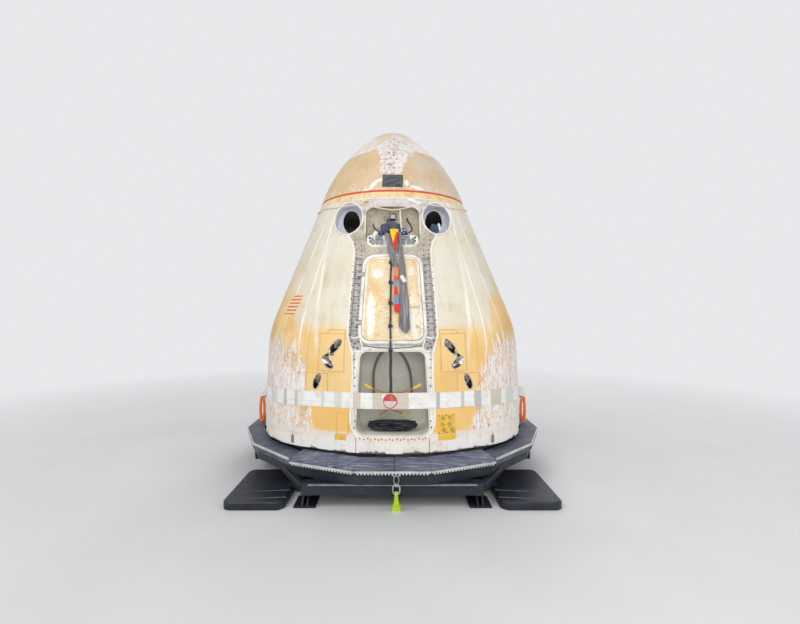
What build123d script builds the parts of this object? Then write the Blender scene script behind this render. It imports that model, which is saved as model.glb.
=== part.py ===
"""A crewed space capsule after its flight, seated in the dark cradle that carries it.

The axis of the capsule is Z, the floor is z = 0 and the side hatch faces -Y.
Heights of the capsule's own pieces are given above the lower edge of its base ring.
Azimuths are in degrees from -Y, growing towards +X.
"""
import math
import os

from build123d import *

os.makedirs("parts", exist_ok=True)

# Hull form
edge_z = 610.0
base_radius = 2000.0
wall_lean = 2.2
cone_lean = 22.0
shoulder_radius = 1945.0
shoulder_height = 1403.0
shoulder_arc = 1600.0
skin_foot = 180.0
seam_height = 3360.0
skin_wall = 60.0
panel_gap = 4.0
form_spare = 200.0

# Pod bulges, a cone of their own beside the axis, that fade out upwards
pod_azimuths = [-132.0, -48.0, 48.0, 132.0]
bulge_centre = 850.0
bulge_rise = 80.0
bulge_top = 2950.0

# Panels of the skin: name, first azimuth, last azimuth
skin_panels = [
    ("front_skin", -33.0, 33.0),
    ("pod_front_right", 33.0, 63.0),
    ("right_skin", 63.0, 117.0),
    ("pod_rear_right", 117.0, 147.0),
    ("rear_skin", 147.0, 213.0),
    ("pod_rear_left", 213.0, 243.0),
    ("left_skin", 243.0, 297.0),
    ("pod_front_left", 297.0, 327.0),
]

# Heat shield
shield_radius = 1960.0
shield_rim = 70.0
shield_drop = 330.0
shield_wall = 75.0

# Side hatch, measured in the plane of the hatch
hatch_middle = 1890.0
hatch_height = 1140.0
hatch_width_low = 800.0
hatch_width_high = 700.0
hatch_corner = 120.0
hatch_thickness = 110.0
hatch_taper = 9.0
hatch_frame_width = 38.0
hatch_frame_depth = 150.0
hatch_gap = 7.0
hinge_offset = 462.0
hinge_sink = 52.0
hinge_barrel = 14.0
hinge_pin = 7.0
hinge_stations = [-330.0, 330.0]
arm_width = 46.0

# Riser troughs each side of the hatch
trough_width = 92.0
trough_depth = 42.0
trough_low = 1385.0
trough_high = 2400.0
trough_x_low = 478.0
trough_x_high = 437.0
trough_blocks = 12

# Lower bay
bay_low = 220.0
bay_high = 1217.0
bay_width_low = 895.0
bay_width_high = 784.0
bay_corner = 95.0
bay_rim_width = 62.0
bay_rim_depth = 90.0
bay_back = 1400.0
liner_wall = 20.0

# Upper bay and the two drogue tubes
nest_low = 2550.0
nest_high = 3165.0
nest_width = 720.0
nest_corner = 130.0
nest_back = 1000.0
tube_x = 612.0
tube_height = 2988.0
tube_half_width = 214.0
tube_half_height = 246.0
tube_wall = 9.0
tube_back = 640.0
tube_hole_half_width = 125.0
tube_hole_half_height = 172.0
tube_hole_rise = 45.0

# Thrusters: azimuth, height, oval length, oval width, turn of the oval from upright
thrusters = [
    (21.8, 1260.0, 260.0, 100.0, -38.0),
    (24.0, 1060.0, 190.0, 105.0, 48.0),
    (29.2, 800.0, 210.0, 84.0, -24.0),
]
throat_radius = 20.0
nozzle_wall = 4.0
nozzle_depth = 210.0

# Cabin
cabin_wall = 25.0
cabin_low = 430.0
cabin_low_radius = 1330.0
cabin_step = 1265.0
cabin_inset = 150.0
cabin_high = 2500.0
tunnel_radius = 430.0
tunnel_high = 3265.0
floor_thickness = 40.0
window_azimuths = [156.0, 204.0]
window_height = 2050.0
window_radius = 150.0
window_frame = 22.0
pane_thickness = 20.0

# Seats
seat_xs = [-690.0, -230.0, 230.0, 690.0]
seat_width = 400.0
seat_thickness = 90.0

# Nose cone
nose_wall = 40.0
nose_arc_radius = 2180.0
dome_edge_radius = 319.0
dome_edge_height = 4491.0
nose_pin_y = 1192.0
nose_pin_height = 3385.0
nose_pin_radius = 12.0
nose_knuckle = 30.0
nose_hinge_x = 190.0
nose_arm_width = 60.0

# Docking ring and hatch under the nose
bulkhead_height = 3240.0
bulkhead_thickness = 20.0
docking_radius = 610.0
docking_height = 90.0
tunnel_hatch_radius = 470.0
tunnel_hatch_thickness = 60.0

# Belt round the hull and its slings
belt_height = 500.0
belt_front_rise = 130.0
belt_width = 200.0
belt_thickness = 12.0
belt_clearance = 0.5
sling_azimuths = [-84.0, 84.0]

# Cradle
ring_sides = 16
ring_apothem = 2165.0
ring_inner = 1935.0
ring_low = 305.0
ring_high = 440.0
pad_thickness = 100.0
pad_fall = 12.0
pad_inner = 1990.0
pad_outer = 2225.0
droop_rise = 34.0
droop_outer = pad_outer + 15.0
droop_edge_low = 490.0
droop_edge_high = 512.0
comb_ledge = 25.0
trim_height = 28.0
trim_thickness = 12.0
tooth_pitch = 40.0
tooth_width = 20.0
support_inner = 1600.0
support_outer = 1925.0
seat_clearance = 0.3
beam_y = 2050.0
beam_half_length = 950.0
beam_width = 140.0
beam_low = 168.0
skid_x = 1040.0
skid_width = 120.0
skid_low = 100.0
skid_high = 230.0
foot_plate = 20.0
foot_length = 320.0
foot_width = 260.0
foot_hole = 13.0
foot_pitch_x = 180.0
foot_pitch_y = 240.0
arm_low = 180.0
arm_beam_width = 110.0
outrigger_x = 1635.0
outrigger_y = 1590.0
outrigger_width = 730.0
outrigger_length = 1100.0
outrigger_thickness = 95.0

# Shackle and snatch block at the front
shackle_z = 374.0
block_x = 42.0

# Details of the hinges
pin_clearance = 0.3
lug_gap = 3.0
lug_width = 26.0
arm_reach = 150.0
notch_length = 200.0
notch_depth = 80.0

# Details of the troughs and the upper bay
block_thickness = 22.0
block_split = 8.0
fitting_sink = 46.0
fitting_thickness = 16.0
fitting_panel_height = 175.0
fitting_rise = 12.0
fitting_inset = 18.0
lug_tall = 36.0
button_tall = 16.0
fitting_xs = [-270.0, -210.0, -150.0, 150.0, 210.0, 270.0]
pane_sink = 30.0

# Connectors in the upper bay: x, height, size
connector_table = [
    (-120.0, 2860.0, 90.0),
    (-30.0, 2920.0, 110.0),
    (90.0, 2870.0, 90.0),
    (20.0, 3040.0, 60.0),
]

# Seat line, from the head to the feet: y, height
seat_line = [(880.0, 1520.0), (250.0, 1170.0), (-170.0, 1320.0), (-420.0, 1040.0)]
seat_frame_x = 460.0
seat_frame_tube = 40.0
seat_beam_height = 1110.0
console_y = 700.0
console_height = 1930.0
console_width = 1000.0
console_tall = 280.0

# Docking petals, hinge of the tunnel hatch and the seal ring
petal_radius = 560.0
tunnel_pin_y = 505.0
tunnel_hinge_x = 130.0
tunnel_arm_width = 40.0
seal_height = 30.0

# Slings and shackles at the sides
sling_radius = 2088.0
shackle_inner = 1980.0
shackle_outer = 2122.0
sling_low = -48.0
sling_tall = 400.0
sling_depth = 60.0
sling_width = 70.0
shackle_tall = 110.0

# Hanging soft pieces: name, height over the hatch plane, outline as x and height
hanging_thickness = 22.0
lying_level = lug_tall + button_tall - fitting_sink + seat_clearance
crossing_level = lying_level + hanging_thickness + seat_clearance
top_level = crossing_level + hanging_thickness + seat_clearance
hanging_table = [
    (
        "sleeve_long",
        lying_level,
        [
            (40, 2760),
            (150, 2760),
            (190, 2100),
            (262, 1560),
            (240, 1440),
            (175, 1440),
            (120, 1560),
            (75, 2100),
        ],
    ),
    ("sleeve_short", crossing_level, [(-130, 2720), (-20, 2720), (110, 2290), (30, 2270)]),
    ("striped_tail", crossing_level, [(5, 2260), (72, 2260), (92, 1680), (30, 1680)]),
    ("cone_ribbon", top_level, [(-60, 2760), (50, 2760), (20, 2490), (-10, 2490)]),
]

# Ropes: name, diameter, route
rope_table = [
    (
        "knotted_rope",
        22.0,
        [
            (-20, -1486.3, 3180),
            (-26, -1546.3, 3030),
            (-18, -1607.3, 2880),
            (-28, -1667.3, 2730),
            (-20, -1728.3, 2580),
            (-30, -1789.3, 2430),
            (-22, -1849.3, 2280),
            (-30, -1909.3, 2130),
            (-22, -1943.3, 2000),
            (-26, -1962.3, 1880),
        ],
    ),
    (
        "braided_rope",
        38.0,
        [
            (-26, -1975.1, 1862),
            (-18, -1973.1, 1740),
            (-28, -1957.1, 1600),
            (-18, -1951.1, 1450),
            (-22, -1953.1, 1330),
        ],
    ),
]

# Bundle in the lower bay
bundle_length = 640.0
bundle_y = 1740.0
bundle_deep = 300.0
bundle_tall = 130.0

# Details of the cradle
comb_band = 26.0
comb_thickness = 14.0
tooth_height = 18.0
middle_beam_width = 220.0
arm_azimuths = [67.5, 112.5, -67.5, -112.5]
leg_y = 1920.0
link_low = 45.0
link_high = 130.0
block_lean = 24.0

# Cuts that run right through, so they follow the size of the hull
cut_reach = base_radius + 600.0
gate_front = base_radius + 300.0
nest_front = base_radius - 300.0
trough_inner = base_radius - 700.0
trough_outer = base_radius + 200.0
tube_reach = base_radius / 2
side_reach = base_radius - bay_back
rim_inner = bay_back + 100.0
window_cut = base_radius / 5
plug_depth = base_radius / 5
hatch_proud = hatch_thickness - 20.0
nozzle_out = form_spare


def at(height):
    """World height of a place given above the lower edge of the base ring."""
    return edge_z + height


def radial_plane(azimuth, x=0.0, y=0.0):
    """Upright plane through an upright axis, its x pointing outwards at the azimuth."""
    turn = math.radians(azimuth)
    return Plane(
        origin=(x, y, 0),
        x_dir=(math.sin(turn), -math.cos(turn), 0),
        z_dir=(-math.cos(turn), -math.sin(turn), 0),
    )


def wall_radius(height, inset):
    """Radius of the near upright wall, moved inwards by inset."""
    lean = math.radians(wall_lean)
    return base_radius - height * math.tan(lean) - inset / math.cos(lean)


def cone_radius(height, inset):
    """Radius of the cone above the shoulder, moved inwards by inset."""
    lean = math.radians(cone_lean)
    return shoulder_radius - (height - shoulder_height) * math.tan(lean) - inset / math.cos(lean)


def shoulder_point(inset):
    """Where the wall and the cone lines cross, moved inwards by inset."""
    steep = math.tan(math.radians(wall_lean))
    slack = math.tan(math.radians(cone_lean))
    height = (cone_radius(0.0, inset) - wall_radius(0.0, inset)) / (slack - steep)
    return wall_radius(height, inset), height


def half_outline(low, high, foot, corner, top, arc):
    """Closed half outline from the axis, with one rounded corner."""
    with BuildSketch(Plane.XY) as outline:
        with BuildLine():
            Polyline(
                (0, at(low)),
                (foot, at(low)),
                (corner[0], at(corner[1])),
                (top, at(high)),
                (0, at(high)),
                close=True,
            )
        make_face()
        bend = outline.vertices().sort_by_distance((corner[0], at(corner[1]), 0))[0]
        fillet(bend, arc)
    return outline.sketch


def hull_form(inset):
    """Closed solid of the hull with its four pod bulges, moved inwards by inset.

    It runs past the base ring and the seam by form_spare.
    """
    low = -form_spare
    high = seam_height + form_spare
    corner = shoulder_point(inset)
    arc = shoulder_arc - inset
    fade = bulge_rise / (bulge_top - shoulder_height)
    bulge_foot = wall_radius(low, inset) - bulge_centre + bulge_rise
    bulge_corner = (corner[0] - bulge_centre + bulge_rise, corner[1])
    bulge_end = cone_radius(bulge_top, inset) - bulge_centre + fade
    with BuildPart() as form:
        with BuildSketch(radial_plane(0.0)):
            add(half_outline(low, high, wall_radius(low, inset), corner, cone_radius(high, inset), arc))
        revolve(axis=Axis.Z)
        for azimuth in pod_azimuths:
            turn = math.radians(azimuth)
            x = bulge_centre * math.sin(turn)
            y = -bulge_centre * math.cos(turn)
            with BuildSketch(radial_plane(azimuth, x, y)):
                add(half_outline(low, bulge_top, bulge_foot, bulge_corner, bulge_end, arc))
            revolve(axis=Axis((x, y, 0), (0, 0, 1)))
    return form.part


def sector(first, last, low, high):
    """Wedge of a wide disc between two azimuths."""
    with BuildPart() as wedge:
        with BuildSketch(radial_plane(first)):
            with Locations((cut_reach / 2, (at(low) + at(high)) / 2)):
                Rectangle(cut_reach, high - low)
        revolve(axis=Axis.Z, revolution_arc=last - first)
    return wedge.part


def gate(width_low, width_high, low, high, corner, grow, front, back):
    """Rounded trapezoid facing the front, pushed from y = -front to y = -back."""
    with BuildPart() as prism:
        with BuildSketch(Plane.XZ.offset(back)) as face:
            with BuildLine():
                Polyline(
                    (-width_low / 2 - grow, at(low) - grow),
                    (width_low / 2 + grow, at(low) - grow),
                    (width_high / 2 + grow, at(high) + grow),
                    (-width_high / 2 - grow, at(high) + grow),
                    close=True,
                )
            make_face()
            fillet(face.vertices(), corner + grow)
        extrude(amount=front - back)
    return prism.part


def hatch_prism(grow, depth):
    """Plug of the side hatch, grown all round, that narrows inwards to its depth."""
    lean = math.tan(math.radians(hatch_taper))
    with BuildPart() as plug:
        for level, spread in ((hatch_proud, hatch_proud * lean), (-depth, -depth * lean)):
            with BuildSketch(hatch_plane.offset(level)) as face:
                size = grow + spread
                with BuildLine():
                    Polyline(
                        (-hatch_width_low / 2 - size, -hatch_height / 2 - size),
                        (hatch_width_low / 2 + size, -hatch_height / 2 - size),
                        (hatch_width_high / 2 + size, hatch_height / 2 + size),
                        (-hatch_width_high / 2 - size, hatch_height / 2 + size),
                        close=True,
                    )
                make_face()
                fillet(face.vertices(), hatch_corner + size)
        loft()
    return plug.part


def ring_piece(points, sides, gap=0.0):
    """Straight sides of the many-sided ring, mitred, each with the outline given."""
    half = 180.0 / ring_sides
    pieces = []
    for side in sides:
        azimuth = side * 2 * half
        with BuildPart() as piece:
            with BuildSketch(radial_plane(azimuth)):
                with BuildLine():
                    Polyline(*points, close=True)
                make_face()
            extrude(amount=side_reach, both=True)
            wedge = sector(azimuth - half, azimuth + half, -edge_z, 0.0)
            add(wedge, mode=Mode.INTERSECT)
            if gap:
                for end in (-half, half):
                    with BuildSketch(radial_plane(azimuth + end)):
                        with Locations((cut_reach / 2, edge_z)):
                            Rectangle(cut_reach, 2 * edge_z)
                    extrude(amount=gap / 2, both=True, mode=Mode.SUBTRACT)
        pieces.append(piece.part)
    return pieces


hatch_radius = cone_radius(hatch_middle, 0.0)
lean_angle = math.radians(cone_lean)
hatch_plane = Plane(
    origin=(0, -hatch_radius, at(hatch_middle)),
    x_dir=(1, 0, 0),
    z_dir=(0, -math.cos(lean_angle), math.sin(lean_angle)),
)
slant = math.cos(lean_angle)
with BuildPart() as hull_solid:
    add(hull_form(0.0))
    add(sector(0, 360, 0.0, seam_height), mode=Mode.INTERSECT)
hull = hull_solid.part
cavity = hull_form(skin_wall)
side_range = list(range(ring_sides))

# Base ring under the skin
with BuildPart() as base_ring:
    add(hull)
    add(sector(0, 360, 0.0, skin_foot), mode=Mode.INTERSECT)
    add(cavity, mode=Mode.SUBTRACT)
base_ring.part.label = "base_ring"
export_step(base_ring.part, "parts/base_ring.step")

# Heat shield: a shallow dish under the base ring
dish_radius = (shield_radius**2 + shield_drop**2) / (2 * shield_drop)
dish_bottom = -shield_rim - shield_drop
dish_centre = at(dish_bottom) + dish_radius
with BuildPart() as dish_hollow:
    with BuildSketch(Plane.XY.offset(at(dish_bottom))):
        Circle(shield_radius - shield_wall)
    extrude(amount=shield_drop + shield_rim)
    with Locations((0, 0, dish_centre)):
        Sphere(dish_radius - shield_wall, mode=Mode.INTERSECT)
with BuildPart() as heat_shield:
    with BuildSketch(Plane.XY.offset(at(dish_bottom))):
        Circle(shield_radius)
    extrude(amount=shield_drop + shield_rim)
    with Locations((0, 0, dish_centre)):
        Sphere(dish_radius, mode=Mode.INTERSECT)
    add(dish_hollow.part, mode=Mode.SUBTRACT)
heat_shield.part.label = "heat_shield"
export_step(heat_shield.part, "parts/heat_shield.step")

# Plug, frame and opening of the side hatch
frame_prism = hatch_prism(hatch_frame_width, plug_depth)
opening_prism = hatch_prism(0.0, plug_depth)
door_prism = hatch_prism(-hatch_gap, plug_depth)
frame_back = hull_form(hatch_frame_depth)
door_back = hull_form(hatch_thickness)

# Hinge line of the side hatch, beside the hatch in the left trough
hinge_plane = Plane(
    origin=hatch_plane.from_local_coords((-hinge_offset, 0, -hinge_sink)),
    x_dir=hatch_plane.x_dir,
    z_dir=hatch_plane.y_dir,
)

# Room for the hinge arms, cut into the frame and the skin beside it
with BuildPart() as arm_notches:
    for station in hinge_stations:
        with BuildSketch(hinge_plane.offset(station)):
            with Locations((notch_length / 2, 0)):
                Rectangle(notch_length, notch_depth)
        extrude(amount=arm_width / 2 + hatch_gap, both=True)

# Prisms of the two bays, the troughs and the tubes
bay_opening = gate(
    bay_width_low, bay_width_high, bay_low, bay_high, bay_corner, 0.0, gate_front, bay_back
)
bay_outer = gate(
    bay_width_low,
    bay_width_high,
    bay_low,
    bay_high,
    bay_corner,
    liner_wall,
    gate_front,
    bay_back - liner_wall,
)
bay_rim_prism = gate(
    bay_width_low, bay_width_high, bay_low, bay_high, bay_corner, bay_rim_width, gate_front, rim_inner
)
nest_opening = gate(nest_width, nest_width, nest_low, nest_high, nest_corner, 0.0, nest_front, nest_back)
nest_outer = gate(
    nest_width, nest_width, nest_low, nest_high, nest_corner, liner_wall, nest_front, nest_back - liner_wall
)

trough_base = hull_form(trough_depth)
troughs = []
for side in (-1, 1):
    with BuildPart() as trough:
        with BuildSketch(Plane.XZ.offset(trough_inner)):
            with BuildLine():
                Polyline(
                    (side * (trough_x_low - trough_width / 2), at(trough_low)),
                    (side * (trough_x_low + trough_width / 2), at(trough_low)),
                    (side * (trough_x_high + trough_width / 2), at(trough_high)),
                    (side * (trough_x_high - trough_width / 2), at(trough_high)),
                    close=True,
                )
            make_face()
        extrude(amount=trough_outer - trough_inner)
    troughs.append(trough.part)

tubes = []
for side in (-1, 1):
    with BuildPart() as tube:
        with BuildSketch(Plane.XZ.offset(tube_back)):
            with Locations((side * tube_x, at(tube_height))):
                Ellipse(tube_half_width, tube_half_height)
        extrude(amount=nest_front - tube_back)
    tubes.append(tube.part)


def surface_plane(azimuth, height):
    """Plane on the hull at a place, its z outwards, its y up the slope."""
    if height > shoulder_height:
        radius = cone_radius(height, 0.0)
        lean = math.radians(cone_lean)
    else:
        radius = wall_radius(height, 0.0)
        lean = math.radians(wall_lean)
    turn = math.radians(azimuth)
    outward = (math.sin(turn) * math.cos(lean), -math.cos(turn) * math.cos(lean), math.sin(lean))
    across = (math.cos(turn), math.sin(turn), 0)
    return Plane(
        origin=(radius * math.sin(turn), -radius * math.cos(turn), at(height)),
        x_dir=across,
        z_dir=outward,
    )


def nozzle_cone(azimuth, height, length, width, turn, grow, out):
    """Cone that leaves the hull at a slant, so that it opens as an oval."""
    spot = surface_plane(azimuth, height)
    rise = math.asin(width / length)
    swing = math.radians(turn)
    along = spot.x_dir * -math.sin(swing) + spot.y_dir * math.cos(swing)
    axis = along * math.cos(rise) + spot.z_dir * math.sin(rise)
    mouth = width / 2
    slope = (mouth - throat_radius) / nozzle_depth
    top = mouth + slope * out + grow
    start = Plane(origin=spot.origin - axis * nozzle_depth, z_dir=axis)
    with BuildPart(start) as cone:
        Cone(
            throat_radius + grow,
            top,
            nozzle_depth + out,
            align=(Align.CENTER, Align.CENTER, Align.MIN),
        )
    return cone.part


nozzle_list = []
for azimuth, height, length, width, turn in thrusters:
    for mirrored in (-1, 1):
        for rear in (False, True):
            where = 180.0 - mirrored * azimuth if rear else mirrored * azimuth
            lean_turn = mirrored * turn * (-1 if rear else 1)
            nozzle_list.append((where, height, length, width, -lean_turn))

# Skin panels
skins = {}
half_gap = math.degrees(panel_gap / 2 / base_radius)
for name, first, last in skin_panels:
    with BuildPart() as panel:
        add(hull)
        wedge = sector(first + half_gap, last - half_gap, skin_foot, seam_height)
        add(wedge, mode=Mode.INTERSECT)
        add(cavity, mode=Mode.SUBTRACT)
        if name == "front_skin":
            add(bay_rim_prism, mode=Mode.SUBTRACT)
            add(frame_prism, mode=Mode.SUBTRACT)
            add(nest_opening, mode=Mode.SUBTRACT)
            add(arm_notches.part, mode=Mode.SUBTRACT)
            for trough in troughs:
                add(trough - trough_base, mode=Mode.SUBTRACT)
        if name in ("front_skin", "pod_front_left", "pod_front_right"):
            for tube in tubes:
                add(tube, mode=Mode.SUBTRACT)
        if name in ("front_skin", "rear_skin"):
            for where, height, length, width, turn in nozzle_list:
                if (abs(where) < 90) == (name == "front_skin"):
                    cone = nozzle_cone(where, height, length, width, turn, nozzle_wall, nozzle_out)
                    add(cone, mode=Mode.SUBTRACT)
        if name == "rear_skin":
            for azimuth in window_azimuths:
                with BuildSketch(surface_plane(azimuth, window_height).offset(-window_cut)):
                    Circle(window_radius + window_frame)
                extrude(amount=2 * window_cut, mode=Mode.SUBTRACT)
    panel.part.label = name
    export_step(panel.part, f"parts/{name}.step")
    skins[name] = panel.part

# Thruster nozzles, cut off level with the skin
with BuildPart() as thruster_nozzles:
    for where, height, length, width, turn in nozzle_list:
        bell = nozzle_cone(where, height, length, width, turn, nozzle_wall, nozzle_out)
        bore = nozzle_cone(where, height, length, width, turn, 0.0, nozzle_out)
        add(bell - bore)
    add(hull, mode=Mode.INTERSECT)
thruster_nozzles.part.label = "thruster_nozzles"
export_step(thruster_nozzles.part, "parts/thruster_nozzles.step")

# Side hatch, its frame and its hinge
with BuildPart() as hatch_frame:
    add(hull)
    add(frame_prism, mode=Mode.INTERSECT)
    add(opening_prism, mode=Mode.SUBTRACT)
    add(frame_back, mode=Mode.SUBTRACT)
    add(arm_notches.part, mode=Mode.SUBTRACT)
hatch_frame.part.label = "hatch_frame"
export_step(hatch_frame.part, "parts/hatch_frame.step")

with BuildPart() as side_hatch:
    add(hull)
    add(door_prism, mode=Mode.INTERSECT)
    add(door_back, mode=Mode.SUBTRACT)
side_hatch.part.label = "side_hatch"
export_step(side_hatch.part, "parts/side_hatch.step")

with BuildPart() as hatch_hinge_arms:
    for station in hinge_stations:
        with BuildSketch(hinge_plane.offset(station)):
            Circle(hinge_barrel)
            with Locations((arm_reach / 2, 0)):
                Rectangle(arm_reach, 2 * hinge_barrel - 4)
        extrude(amount=arm_width / 2, both=True)
        with BuildSketch(hinge_plane.offset(station)):
            Circle(hinge_pin + pin_clearance)
        extrude(amount=arm_width, both=True, mode=Mode.SUBTRACT)
    add(side_hatch.part, mode=Mode.SUBTRACT)
    for piece in hatch_hinge_arms.solids().sort_by(SortBy.VOLUME)[: -len(hinge_stations)]:
        add(piece, mode=Mode.SUBTRACT)
hatch_hinge_arms.part.label = "hatch_hinge_arms"
export_step(hatch_hinge_arms.part, "parts/hatch_hinge_arms.step")

with BuildPart() as hatch_hinge_base:
    for station in hinge_stations:
        for end in (-1, 1):
            lug_middle = station + end * (arm_width / 2 + lug_gap + lug_width / 2)
            with BuildSketch(hinge_plane.offset(lug_middle)):
                Circle(hinge_barrel)
                with Locations((0, trough_depth)):
                    Rectangle(2 * hinge_barrel, 2 * trough_depth)
            extrude(amount=lug_width / 2, both=True)
        with BuildSketch(hinge_plane.offset(station)):
            Circle(hinge_pin)
        extrude(amount=arm_width / 2 + lug_gap + lug_width, both=True)
    add(trough_base, mode=Mode.SUBTRACT)
hatch_hinge_base.part.label = "hatch_hinge_base"
export_step(hatch_hinge_base.part, "parts/hatch_hinge_base.step")

# Riser troughs: a segmented channel each side of the hatch
block_form = hull_form(trough_depth - block_thickness)
block_length = (trough_high - trough_low) / trough_blocks
with BuildPart() as riser_troughs:
    for trough in troughs:
        add(trough)
    add(block_form, mode=Mode.INTERSECT)
    add(trough_base, mode=Mode.SUBTRACT)
    for index in range(1, trough_blocks):
        with BuildSketch(Plane.XY.offset(at(trough_low + index * block_length) - block_split / 2)):
            Rectangle(2 * cut_reach, 2 * cut_reach)
        extrude(amount=block_split, mode=Mode.SUBTRACT)
    add(hatch_hinge_base.part, mode=Mode.SUBTRACT)
riser_troughs.part.label = "riser_troughs"
export_step(riser_troughs.part, "parts/riser_troughs.step")

# Lower bay: white rim let into the skin and the liner behind it
rim_back = hull_form(bay_rim_depth)
with BuildPart() as bay_rim:
    add(hull)
    add(bay_rim_prism, mode=Mode.INTERSECT)
    add(bay_outer, mode=Mode.SUBTRACT)
    add(rim_back, mode=Mode.SUBTRACT)
    add(base_ring.part, mode=Mode.SUBTRACT)
    add(hatch_frame.part, mode=Mode.SUBTRACT)
bay_rim.part.label = "bay_rim"
export_step(bay_rim.part, "parts/bay_rim.step")

lip = hull_form(4.0)
with BuildPart() as lower_bay_liner:
    add(lip)
    add(bay_outer, mode=Mode.INTERSECT)
    add(bay_opening, mode=Mode.SUBTRACT)
lower_bay_liner.part.label = "lower_bay_liner"
export_step(lower_bay_liner.part, "parts/lower_bay_liner.step")

with BuildPart() as upper_bay_liner:
    add(cavity)
    add(nest_outer, mode=Mode.INTERSECT)
    add(nest_opening, mode=Mode.SUBTRACT)
upper_bay_liner.part.label = "upper_bay_liner"
export_step(upper_bay_liner.part, "parts/upper_bay_liner.step")

# Drogue tubes: open in front, with an off-centre hole in the far wall
with BuildPart() as drogue_tubes:
    for tube in tubes:
        add(tube)
    add(hull, mode=Mode.INTERSECT)
    for side in (-1, 1):
        with BuildSketch(Plane.XZ.offset(tube_back + tube_wall)):
            with Locations((side * tube_x, at(tube_height))):
                Ellipse(tube_half_width - tube_wall, tube_half_height - tube_wall)
        extrude(amount=tube_reach, mode=Mode.SUBTRACT)
        with BuildSketch(Plane.XZ.offset(tube_back)):
            with Locations((side * tube_x, at(tube_height + tube_hole_rise))):
                Ellipse(tube_hole_half_width, tube_hole_half_height)
        extrude(amount=tube_reach, mode=Mode.SUBTRACT)
drogue_tubes.part.label = "drogue_tubes"
export_step(drogue_tubes.part, "parts/drogue_tubes.step")

# Panel with the riser fittings in the lower part of the upper bay
panel_plane = hatch_plane.offset(-fitting_sink)
fitting_middle = (nest_low + fitting_panel_height / 2 + fitting_rise - hatch_middle) / slant
with BuildPart() as fitting_panel:
    with BuildSketch(panel_plane):
        with Locations((0, fitting_middle)):
            RectangleRounded(nest_width - 2 * fitting_inset, fitting_panel_height / slant, 55)
    extrude(amount=-fitting_thickness)
    with BuildSketch(panel_plane.offset(-fitting_thickness)):
        with GridLocations(nest_width / 2, 1, 2, 1):
            with Locations((0, fitting_middle)):
                Rectangle(60, 60)
    extrude(amount=-400)
    add(nest_opening, mode=Mode.INTERSECT)
fitting_panel.part.label = "fitting_panel"
export_step(fitting_panel.part, "parts/fitting_panel.step")

with BuildPart() as riser_fittings:
    for x in fitting_xs:
        with BuildSketch(panel_plane):
            with Locations((x, fitting_middle)):
                RectangleRounded(34, 90, 12)
        extrude(amount=lug_tall)
        with BuildSketch(panel_plane.offset(lug_tall)):
            with Locations((x, fitting_middle + 20)):
                Circle(15)
        extrude(amount=button_tall)
riser_fittings.part.label = "riser_fittings"
export_step(riser_fittings.part, "parts/riser_fittings.step")

# Blue connectors and the folded harness at the back of the upper bay
with BuildPart() as bay_connectors:
    for x, height, size in connector_table:
        with BuildSketch(Plane.XZ.offset(nest_back)):
            with Locations((x, at(height))):
                RectangleRounded(size, size * 1.3, size / 5)
        extrude(amount=size * 1.2)
bay_connectors.part.label = "bay_connectors"
export_step(bay_connectors.part, "parts/bay_connectors.step")

# Cabin: a pressure vessel with a floor, its tunnel and the windows
with BuildPart() as vessel_inner:
    add(hull_form(cabin_inset + cabin_wall))
    add(sector(0, 360, cabin_step + cabin_wall, cabin_high - cabin_wall), mode=Mode.INTERSECT)
with BuildPart() as pressure_vessel:
    add(hull_form(cabin_inset))
    add(sector(0, 360, cabin_step, cabin_high), mode=Mode.INTERSECT)
    with BuildSketch(Plane.XY.offset(at(cabin_low))):
        Circle(cabin_low_radius)
    extrude(amount=cabin_step - cabin_low + cabin_wall)
    with BuildSketch(Plane.XY.offset(at(cabin_high))):
        Circle(tunnel_radius + cabin_wall)
    extrude(amount=tunnel_high - cabin_high)
    add(vessel_inner.part, mode=Mode.SUBTRACT)
    with BuildSketch(Plane.XY.offset(at(cabin_low + cabin_wall))):
        Circle(cabin_low_radius - cabin_wall)
    extrude(amount=cabin_step - cabin_low + cabin_wall, mode=Mode.SUBTRACT)
    with BuildSketch(Plane.XY.offset(at(cabin_high - 2 * cabin_wall))):
        Circle(tunnel_radius)
    extrude(amount=tunnel_high, mode=Mode.SUBTRACT)
    add(opening_prism, mode=Mode.SUBTRACT)
    for azimuth in window_azimuths:
        with BuildSketch(surface_plane(azimuth, window_height).offset(-window_cut)):
            Circle(window_radius + window_frame)
        extrude(amount=2 * window_cut, mode=Mode.SUBTRACT)
pressure_vessel.part.label = "pressure_vessel"
export_step(pressure_vessel.part, "parts/pressure_vessel.step")

with BuildPart() as window_frames:
    for azimuth in window_azimuths:
        with BuildSketch(surface_plane(azimuth, window_height).offset(-window_cut)):
            Circle(window_radius + window_frame)
            Circle(window_radius, mode=Mode.SUBTRACT)
        extrude(amount=2 * window_cut)
    add(hull, mode=Mode.INTERSECT)
    add(vessel_inner.part, mode=Mode.SUBTRACT)
window_frames.part.label = "window_frames"
export_step(window_frames.part, "parts/window_frames.step")

with BuildPart() as window_panes:
    for azimuth in window_azimuths:
        pane_plane = surface_plane(azimuth, window_height)
        with BuildSketch(pane_plane.offset(-pane_sink - pane_thickness)):
            Circle(window_radius - seat_clearance)
        extrude(amount=pane_thickness)
window_panes.part.label = "window_panes"
export_step(window_panes.part, "parts/window_panes.step")

with BuildPart() as cabin_floor:
    with BuildSketch(Plane.XY.offset(at(cabin_low + cabin_wall))):
        Circle(cabin_low_radius - cabin_wall - seat_clearance)
    extrude(amount=floor_thickness)
cabin_floor.part.label = "cabin_floor"
export_step(cabin_floor.part, "parts/cabin_floor.step")

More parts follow.
